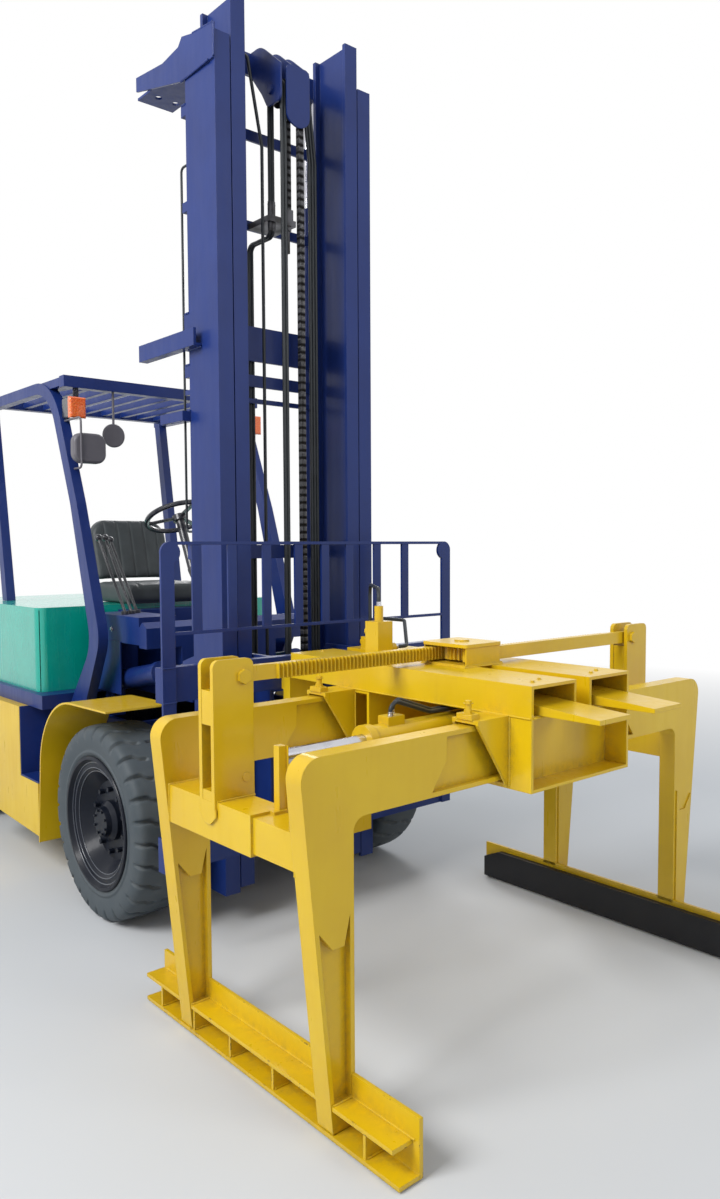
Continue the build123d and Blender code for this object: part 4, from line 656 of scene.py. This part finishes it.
def beads(name, body, paint, lines, radius=4.0):
    """Weld beads along lines of points in millimetres from the axle."""
    corners, edges = [], []
    for points in lines:
        edges += [(len(corners) + k, len(corners) + k + 1) for k in range(len(points) - 1)]
        corners += [from_axle(*p) for p in points]
    mesh = bpy.data.meshes.new(name + "_lines")
    mesh.from_pydata(corners, edges, [])
    values = {"Radius": radius / 1000, "Seed": len(lines), "Finish": paint}
    return grow(name, mesh, weld, values, body, smooth=True)


def around(x0, x1, y0, y1, z):
    """A level rectangle as a closed line."""
    return [(x0, y0, z), (x1, y0, z), (x1, y1, z), (x0, y1, z), (x0, y0, z)]


def rib_places(front, rear, foot_y):
    """Where the ribs of a foot stand along it."""
    return foot_y + 128, front + 268, front + 488, rear - 14, rear + 192


# Cross beam, a foot's web, shelf, outer edge and length, in millimetres
BEAM_X, BEAM_Z = (873, 995), (703, 820)
WEB_X, SHELF_TOP, FOOT_OUT_X, FOOT_LONG = (851, 863), 98, 931, 1256
# The frame's front edge, behind which its gussets stand
FRAME_FRONT = -1788
frame_lines = []
for name, s, front, rear, foot_y, tower_y, _ in CLAMP:
    lines = []
    for y, face_y in ((front, front + ARM_T), (rear, rear)):
        # Round the cross beam where it meets the arm, and along the leg on the foot's shelf
        lines.append([(s * BEAM_X[i], face_y, BEAM_Z[j]) for i, j in ((0, 0), (0, 1), (1, 1), (1, 0))])
        lines += [[(s * 866, y + w, SHELF_TOP + 1), (s * 930, y + w, SHELF_TOP + 1)] for w in (-2, ARM_T + 2)]
        for a, w in ((y - 20, -1), (y + ARM_T + 20, 1)):
            if a > FRAME_FRONT:
                frame_lines.append([(s * 252, a, 822), (s * 252, a, 1026)])
                frame_lines.append([(s * 256, a - w * 5, 822), (s * 388, a - w * 5, 1028)])
    lines.append([(s * WEB_X[1], foot_y + 16, SHELF_TOP + 1), (s * WEB_X[1], foot_y + 1240, SHELF_TOP + 1)])
    for half in (41, -41):
        lines.append([(s * 865, tower_y + half, BEAM_Z[1] + 1),
                      (s * BEAM_X[1], tower_y + half, BEAM_Z[1] + 1)])
    for half in (-41, 41):
        lines.append([(s * 1000, tower_y + half, 800), (s * 1000, tower_y + half, 776)])
    for y in rib_places(front, rear, foot_y):
        lines.append([(s * 866, y, 19), (s * 866, y, 86)])
        lines.append([(s * 866, y, 20), (s * 920, y, 20)])
    beads("arm_welds_" + name, "clamp_" + name, clamp_yellow, lines)
for s in (-1, 1):
    frame_lines += [[(s * 252, -1868, 1040), (s * 252, -980, 1040)],
                    [(s * 35, -1868, 1041), (s * 35, -700, 1041)],
                    [(s * 253, -1787, 826), (s * 253, -1787, 1036)],
                    [(s * 244, -1871, 1041), (s * 43, -1871, 1041)]]
frame_lines += [around(-191, -119, -1131, -1059, 1139), around(39, 111, -846, -769, 1139),
                around(-95, 95, -1465, -1253, 1139)]
beads("frame_welds", "carriage_body", clamp_yellow, frame_lines, 3.6)
top_bracket = [(-405, -432, 3446), (-405, -434, 3500), (-404, -434, 3571)]
mast_lines = [top_bracket, [(-409, -400, 3441), (-402, -180, 3440)],
              [(-405, -430, 3572), (-405, -280, 3590)]]
mast_lines += [[(s * 399, -208, z), (s * 399, -180, z)] for s in (-1, 1)
               for z in (420, 540, 1560, 2302, 2511, 3345)]
mast_lines += [[(s * 401, -207, 300), (s * 401, -207, 640)] for s in (-1, 1)]
mast_lines += [[(-402, -310, 2359), (-402, -208, 2359)], [(-402, -214, 2112), (-402, -208, 2112)]]
beads("mast_welds", "mast_outer", truck_blue, mast_lines, 5.0)
carriage_lines = [[(s * 700, -588, z), (s * 754, -588, z)] for s in (-1, 1) for z in (474, 981, 1109)]
beads("backrest_welds", "carriage_body", truck_blue, carriage_lines, 3.2)

# %% [markdown]
# Each arm is an open I-section, closed by flat cover plates round its bend. The solids of the frame carry
# the hollows the other way about, so the arms are drawn once more from them: a copy is merged, its hollows
# are filled where the cover lies, and new ones are cut along the leg and along the bar towards the frame.


# %% Arms with cover plates round the bend
def prism(name, outline, y0, y1):
    """A closed plate from an outline of (x, z) points, between two depths, in millimetres from the axle."""
    mesh = bmesh.new()
    near, far = [[mesh.verts.new(from_axle(x, y, z)) for x, z in outline] for y in (y0, y1)]
    mesh.faces.new(near)
    mesh.faces.new(far)
    for k in range(len(near)):
        after = (k + 1) % len(near)
        mesh.faces.new((near[k], near[after], far[after], far[k]))
    bmesh.ops.recalc_face_normals(mesh, faces=mesh.faces)
    shape = bpy.data.meshes.new(name)
    mesh.to_mesh(shape)
    mesh.free()
    return plain_object(name, shape)


def rounded(outline):
    """(x, z) points, where a third number rounds that corner to a radius with short straight pieces."""
    line = []
    for i, (x, z, *bend) in enumerate(outline):
        if not bend:
            line.append((x, z))
            continue
        here = Vector((x, z))
        before, after = Vector(outline[i - 1][:2]), Vector(outline[(i + 1) % len(outline)][:2])
        u, v = (before - here).normalized(), (after - here).normalized()
        half = u.angle(v) / 2
        middle = here + (u + v).normalized() * (bend[0] / math.sin(half))
        reach = bend[0] / math.tan(half)
        start, end = here + u * reach - middle, here + v * reach - middle
        swing = start.angle_signed(end)
        for k in range(11):
            line.append(tuple(middle + Matrix.Rotation(-swing * k / 10, 2) @ start))
    return line


def leg_outer(z):
    """How far out the leg's slanting outer side is at this height."""
    return 927 + (z - 20) * 95 / 942


# An arm in millimetres: the bar's top and underside, the leg's inner side, and the edge and depth of a hollow
BAR_TOP, BAR_UNDER, LEG_IN, RIM, DEEP = 1022, 843, 851, 14, 22
# The cover's slanting lower end on the leg, with a flat notch, and its end on the bar
LEG_END = ((leg_outer(565) - RIM, 565), (925, 512), (885, 512), (LEG_IN + RIM, 592))
BAR_END = ((560, BAR_UNDER + RIM), (500, 938))
COVER = ((500, BAR_TOP - RIM), (leg_outer(BAR_TOP) - RIM, BAR_TOP - RIM, 46), *LEG_END,
         (LEG_IN + RIM, BAR_UNDER + RIM, 52), *BAR_END)
LEG_HOLLOW = (*LEG_END, (LEG_IN + RIM, SHELF_TOP + 1), (leg_outer(SHELF_TOP + 1) - RIM, SHELF_TOP + 1))
BAR_HOLLOW = ((500, BAR_TOP - RIM), *BAR_END[::-1], (60, BAR_UNDER + RIM), (60, BAR_TOP - RIM))
# The clamp cylinder's rod, which belongs to the arms, and what is cut from its eye: from x, between y and y
ROD_Z, ROD_R, ROD_X = 965, 22.5, (384, 880.5)
EYE_CUTS = ((881, -30, -13), (881, 13, 30), (906, -31, 31))
EYE_FOOT, EYE_TOP, EYE_OUT = BEAM_Z[1] + 0.5, 1010, 940
for name, s, front, rear, _, _, rod_y in CLAMP:
    whole = cad["arms_" + name].data.copy()
    merged = bmesh.new()
    merged.from_mesh(whole)
    bmesh.ops.remove_doubles(merged, verts=merged.verts, dist=0.00001)
    merged.to_mesh(whole)
    merged.free()
    arms = plain_object("arms_" + name + "_covered", whole)
    tools = []
    for y in (front, rear):
        for near, far in ((y, y + DEEP), (y + ARM_T - DEEP, y + ARM_T)):
            tools.append(("UNION", prism("cover", [(s * x, z) for x, z in rounded(COVER)], near, far)))
        for near, far in ((y - 5, y + DEEP), (y + ARM_T - DEEP, y + ARM_T + 5)):
            tools += [("DIFFERENCE", prism("hollow", [(s * x, z) for x, z in outline], near, far))
                      for outline in (LEG_HOLLOW, BAR_HOLLOW)]
    for x, near, far in EYE_CUTS:
        block = [(s * x, EYE_FOOT), (s * x, EYE_TOP), (s * EYE_OUT, EYE_TOP), (s * EYE_OUT, EYE_FOOT)]
        tools.append(("DIFFERENCE", prism("slim", block, rod_y + near, rod_y + far)))
    for kind, tool in tools:
        cut = arms.modifiers.new(kind, "BOOLEAN")
        cut.operation, cut.solver, cut.object = kind, "EXACT", tool
    bpy.context.view_layer.update()
    shape = bpy.data.meshes.new_from_object(arms.evaluated_get(bpy.context.evaluated_depsgraph_get()))
    arms.modifiers.clear()
    arms.data = shape
    shape.materials.clear()
    shape.materials.append(clamp_yellow)
    shape.materials.append(bright_steel)
    axis = from_axle(0, rod_y, ROD_Z)
    for polygon in shape.polygons:
        middle = polygon.center
        off_axis = math.hypot(middle.y - axis.y, middle.z - axis.z)
        on_rod = ROD_X[0] < 1000 * abs(middle.x) < ROD_X[1]
        polygon.material_index = int(1000 * off_axis < ROD_R and on_rod)
    for _, tool in tools:
        bpy.data.objects.remove(tool)
    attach(arms, "clamp_" + name)
    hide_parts("arms_" + name)
    print(arms.name, "faces:", len(shape.polygons))

# %% [markdown]
# A foot is an angle of three plates: an upright web behind the pad, a base plate on the floor and a shelf
# over it, with ribs between them. The plates are cut square at their ends, so each is one closed plate, and
# the ribs follow from a short row of places.


# %% Feet
def plates(name, boxes, body, paint):
    """Closed boxes (x0, x1, y0, y1, z0, z1 in millimetres from the axle) as one piece."""
    mesh = bmesh.new()
    for x0, x1, y0, y1, z0, z1 in boxes:
        made = bmesh.ops.create_cube(mesh, size=1.0)["verts"]
        size = Vector((abs(x1 - x0), abs(y1 - y0), abs(z1 - z0))) / 1000
        for v in made:
            corner = Vector(a * b for a, b in zip(v.co, size))
            v.co = from_axle((x0 + x1) / 2, (y0 + y1) / 2, (z0 + z1) / 2) + corner
    shape = bpy.data.meshes.new(name)
    mesh.to_mesh(shape)
    mesh.free()
    shape.materials.append(paint)
    return plain_object(name, shape, body)


WEB_TOP, PLATE_T, BASE_TOP, SHELF_BACK = 160, 12, 18, 24
for name, s, front, rear, foot_y, *_ in CLAMP:
    y0, y1 = foot_y, foot_y + FOOT_LONG
    a, b = s * (WEB_X[1] - 1), s * FOOT_OUT_X
    boxes = [(s * WEB_X[0], s * WEB_X[1], y0, y1, 6, WEB_TOP), (a, b, y0, y1, 6, BASE_TOP)]
    # The shelf is let in round both legs
    shelf = [(y0 + SHELF_BACK, front), (front + ARM_T, rear), (rear + ARM_T, y1)]
    boxes += [(a, b, low, high, SHELF_TOP - PLATE_T, SHELF_TOP) for low, high in shelf]
    boxes += [(a, s * (FOOT_OUT_X - 5), y, y + 10, BASE_TOP - 1, SHELF_TOP - PLATE_T + 1)
              for y in rib_places(front, rear, foot_y)]
    foot = plates("foot_" + name + "_plates", boxes, "clamp_" + name, foot_yellow)
    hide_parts("foot_" + name)

# %% [markdown]
# The seat is a cushion and a back of foam under vinyl. A pad like that is pulled in at its seams and swells
# between them, so each starts a little small, is blown up as cloth for twenty steps with how far it may go
# held back, and gets its sewn channels after that.


# %% Seat
def foam_block(name, size, corner, edge):
    """A block about the origin. Its two upper corners are rounded in its x-z view, and then all its edges."""
    mesh = bmesh.new()
    bmesh.ops.create_cube(mesh, size=1.0)
    for v in mesh.verts:
        v.co = Vector(a * b for a, b in zip(v.co, size))
    if corner:
        upper = [e for e in mesh.edges
                 if abs((e.verts[0].co - e.verts[1].co).normalized().y) > 0.9 and e.verts[0].co.z > 0]
        bmesh.ops.bevel(mesh, geom=upper, offset=corner, segments=8, affect="EDGES", profile=0.5)
    sharp = [e for e in mesh.edges if e.calc_face_angle(0.0) > 0.7]
    bmesh.ops.bevel(mesh, geom=sharp, offset=edge, segments=3, affect="EDGES", profile=0.5)
    shape = bpy.data.meshes.new(name)
    mesh.to_mesh(shape)
    mesh.free()
    return shape


# Size of a face of the skin in metres, the pressure, and how many steps it is blown up for
PAD_VOXEL, PAD_PRESSURE, PAD_STEPS = 0.0085, 4.0, 20


def blown_up(name, shape, cap):
    """The shape as an even skin, swollen as cloth with no point farther than cap, and smoothed once."""
    pad = plain_object(name, shape)
    skin = pad.modifiers.new("skin", "REMESH")
    skin.mode, skin.voxel_size = "VOXEL", PAD_VOXEL
    bpy.context.view_layer.update()
    pad.data = bpy.data.meshes.new_from_object(pad.evaluated_get(bpy.context.evaluated_depsgraph_get()))
    pad.modifiers.clear()
    rest = [v.co.copy() for v in pad.data.vertices]
    cloth = pad.modifiers.new("cloth", "CLOTH")
    cloth.settings.use_pressure = True
    cloth.settings.uniform_pressure_force = PAD_PRESSURE
    cloth.settings.effector_weights.gravity = 0.0
    for step in range(1, PAD_STEPS + 1):
        scene.frame_set(step)
    swollen = pad.evaluated_get(bpy.context.evaluated_depsgraph_get()).data
    places = [v.co.copy() for v in swollen.vertices]
    pad.modifiers.clear()
    scene.frame_set(1)
    for v, here, there in zip(pad.data.vertices, rest, places):
        way = there - here
        v.co = here + way * min(1.0, cap / max(way.length, 1e-9))
    even = pad.modifiers.new("even", "SUBSURF")
    even.levels = even.render_levels = 1
    bpy.context.view_layer.update()
    pad.data = bpy.data.meshes.new_from_object(pad.evaluated_get(bpy.context.evaluated_depsgraph_get()))
    pad.modifiers.clear()
    return pad


def sewn(pad, facing, lines, depth=0.006, half=0.007):
    """Presses sewn lines into the side that faces this way: (axis, place, other axis, low, high)."""
    for v in pad.data.vertices:
        if v.normal.dot(facing) > 0.5:
            press = 0.0
            for axis, place, other, low, high in lines:
                if low <= v.co[other] <= high:
                    press = max(press, math.exp(-((v.co[axis] - place) / half) ** 2))
            v.co -= facing * (depth * press)


CUSHION_AT, BACK_AT = (0, 915, 1316), (0, 1105, 1542.5)
# The back leans by 85 mm over its height of 345 mm, from its foot
BACK_LEAN, BACK_HEIGHT = 85, 345
cushion = blown_up("seat_cushion", foam_block("cushion", (0.464, 0.414, 0.092), 0.0, 0.024), 0.008)
borders = [(0, s * 0.165, 1, -0.3, 0.3) for s in (-1, 1)]
channels = [(1, y, 0, -0.165, 0.165) for y in (-0.115, -0.035, 0.045, 0.125)]
sewn(cushion, Vector((0, 0, 1)), borders + channels)
for v in cushion.data.vertices:
    v.co += from_axle(*CUSHION_AT)
back = blown_up("seat_back", foam_block("back", (0.452, 0.072, 0.330), 0.098, 0.020), 0.007)
sewn(back, Vector((0, -1, 0)), [(0, x, 2, -0.3, 0.3) for x in (-0.155, -0.078, 0.0, 0.078, 0.155)])
for v in back.data.vertices:
    v.co.y += (v.co.z + BACK_HEIGHT / 2000) * BACK_LEAN / BACK_HEIGHT
    v.co += from_axle(*BACK_AT)
for pad in (cushion, back):
    pad.data.materials.clear()
    pad.data.materials.append(vinyl)
    pad.data.shade_smooth()
    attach(pad, "chassis")
    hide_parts("seat")
    print(pad.name, "faces:", len(pad.data.polygons))

# %% [markdown]
# Below the control box a thin steel panel closes the side of the dash. Its lit lower edge shows between the
# rails, so it is drawn as one plate that starts behind the box.

# %% Dash panel
dash_panel = plates("dash_panel", [(-444.5, -438, 380, 640, 866, 1114)], "chassis", truck_blue)
print("dash panel faces:", len(dash_panel.data.polygons))

# %% [markdown]
# The rim's lip and the edges of its two steps are rolled round and rubbed smooth by the tyre fitter's
# tools, so they catch the light as thin rings, and their paint is a little lighter than the rim's as a
# painted highlight. Each is a closed round bar laid on the edge.


# %% Rolled edges of the front rims
FRONT_AXLE_Z = 407
# across, radius of the ring, radius of the bar, from the lip inwards, in millimetres
RIM_EDGES = ((758, 272, 4.5), (743, 253, 3.5), (742, 230, 3.0), (731, 214, 3.0))


def rolled_ring(mesh, x, radius, bar, rounds=72, sides=8):
    """A round bar bent into a ring about the front axle, in millimetres."""
    rings = []
    for i in range(rounds):
        turn = 2 * math.pi * i / rounds
        line = []
        for k in range(sides):
            a = 2 * math.pi * k / sides
            out = radius + bar * math.cos(a)
            line.append(mesh.verts.new(from_axle(x + bar * math.sin(a), out * math.sin(turn),
                                                 FRONT_AXLE_Z + out * math.cos(turn))))
        rings.append(line)
    for low, high in zip(rings, rings[1:] + rings[:1]):
        for k in range(sides):
            mesh.faces.new((low[k], low[(k + 1) % sides], high[(k + 1) % sides], high[k]))


for name, s in (("right", -1), ("left", 1)):
    mesh = bmesh.new()
    for x, radius, bar in RIM_EDGES:
        rolled_ring(mesh, s * x, radius, bar)
    bmesh.ops.recalc_face_normals(mesh, faces=mesh.faces)
    shape = bpy.data.meshes.new("rim_edges_" + name)
    mesh.to_mesh(shape)
    mesh.free()
    shape.materials.append(rim_edge)
    edges = plain_object("rim_edges_" + name, shape, "front_wheel_" + name, smooth=True)
    print(edges.name, "faces:", len(shape.polygons))
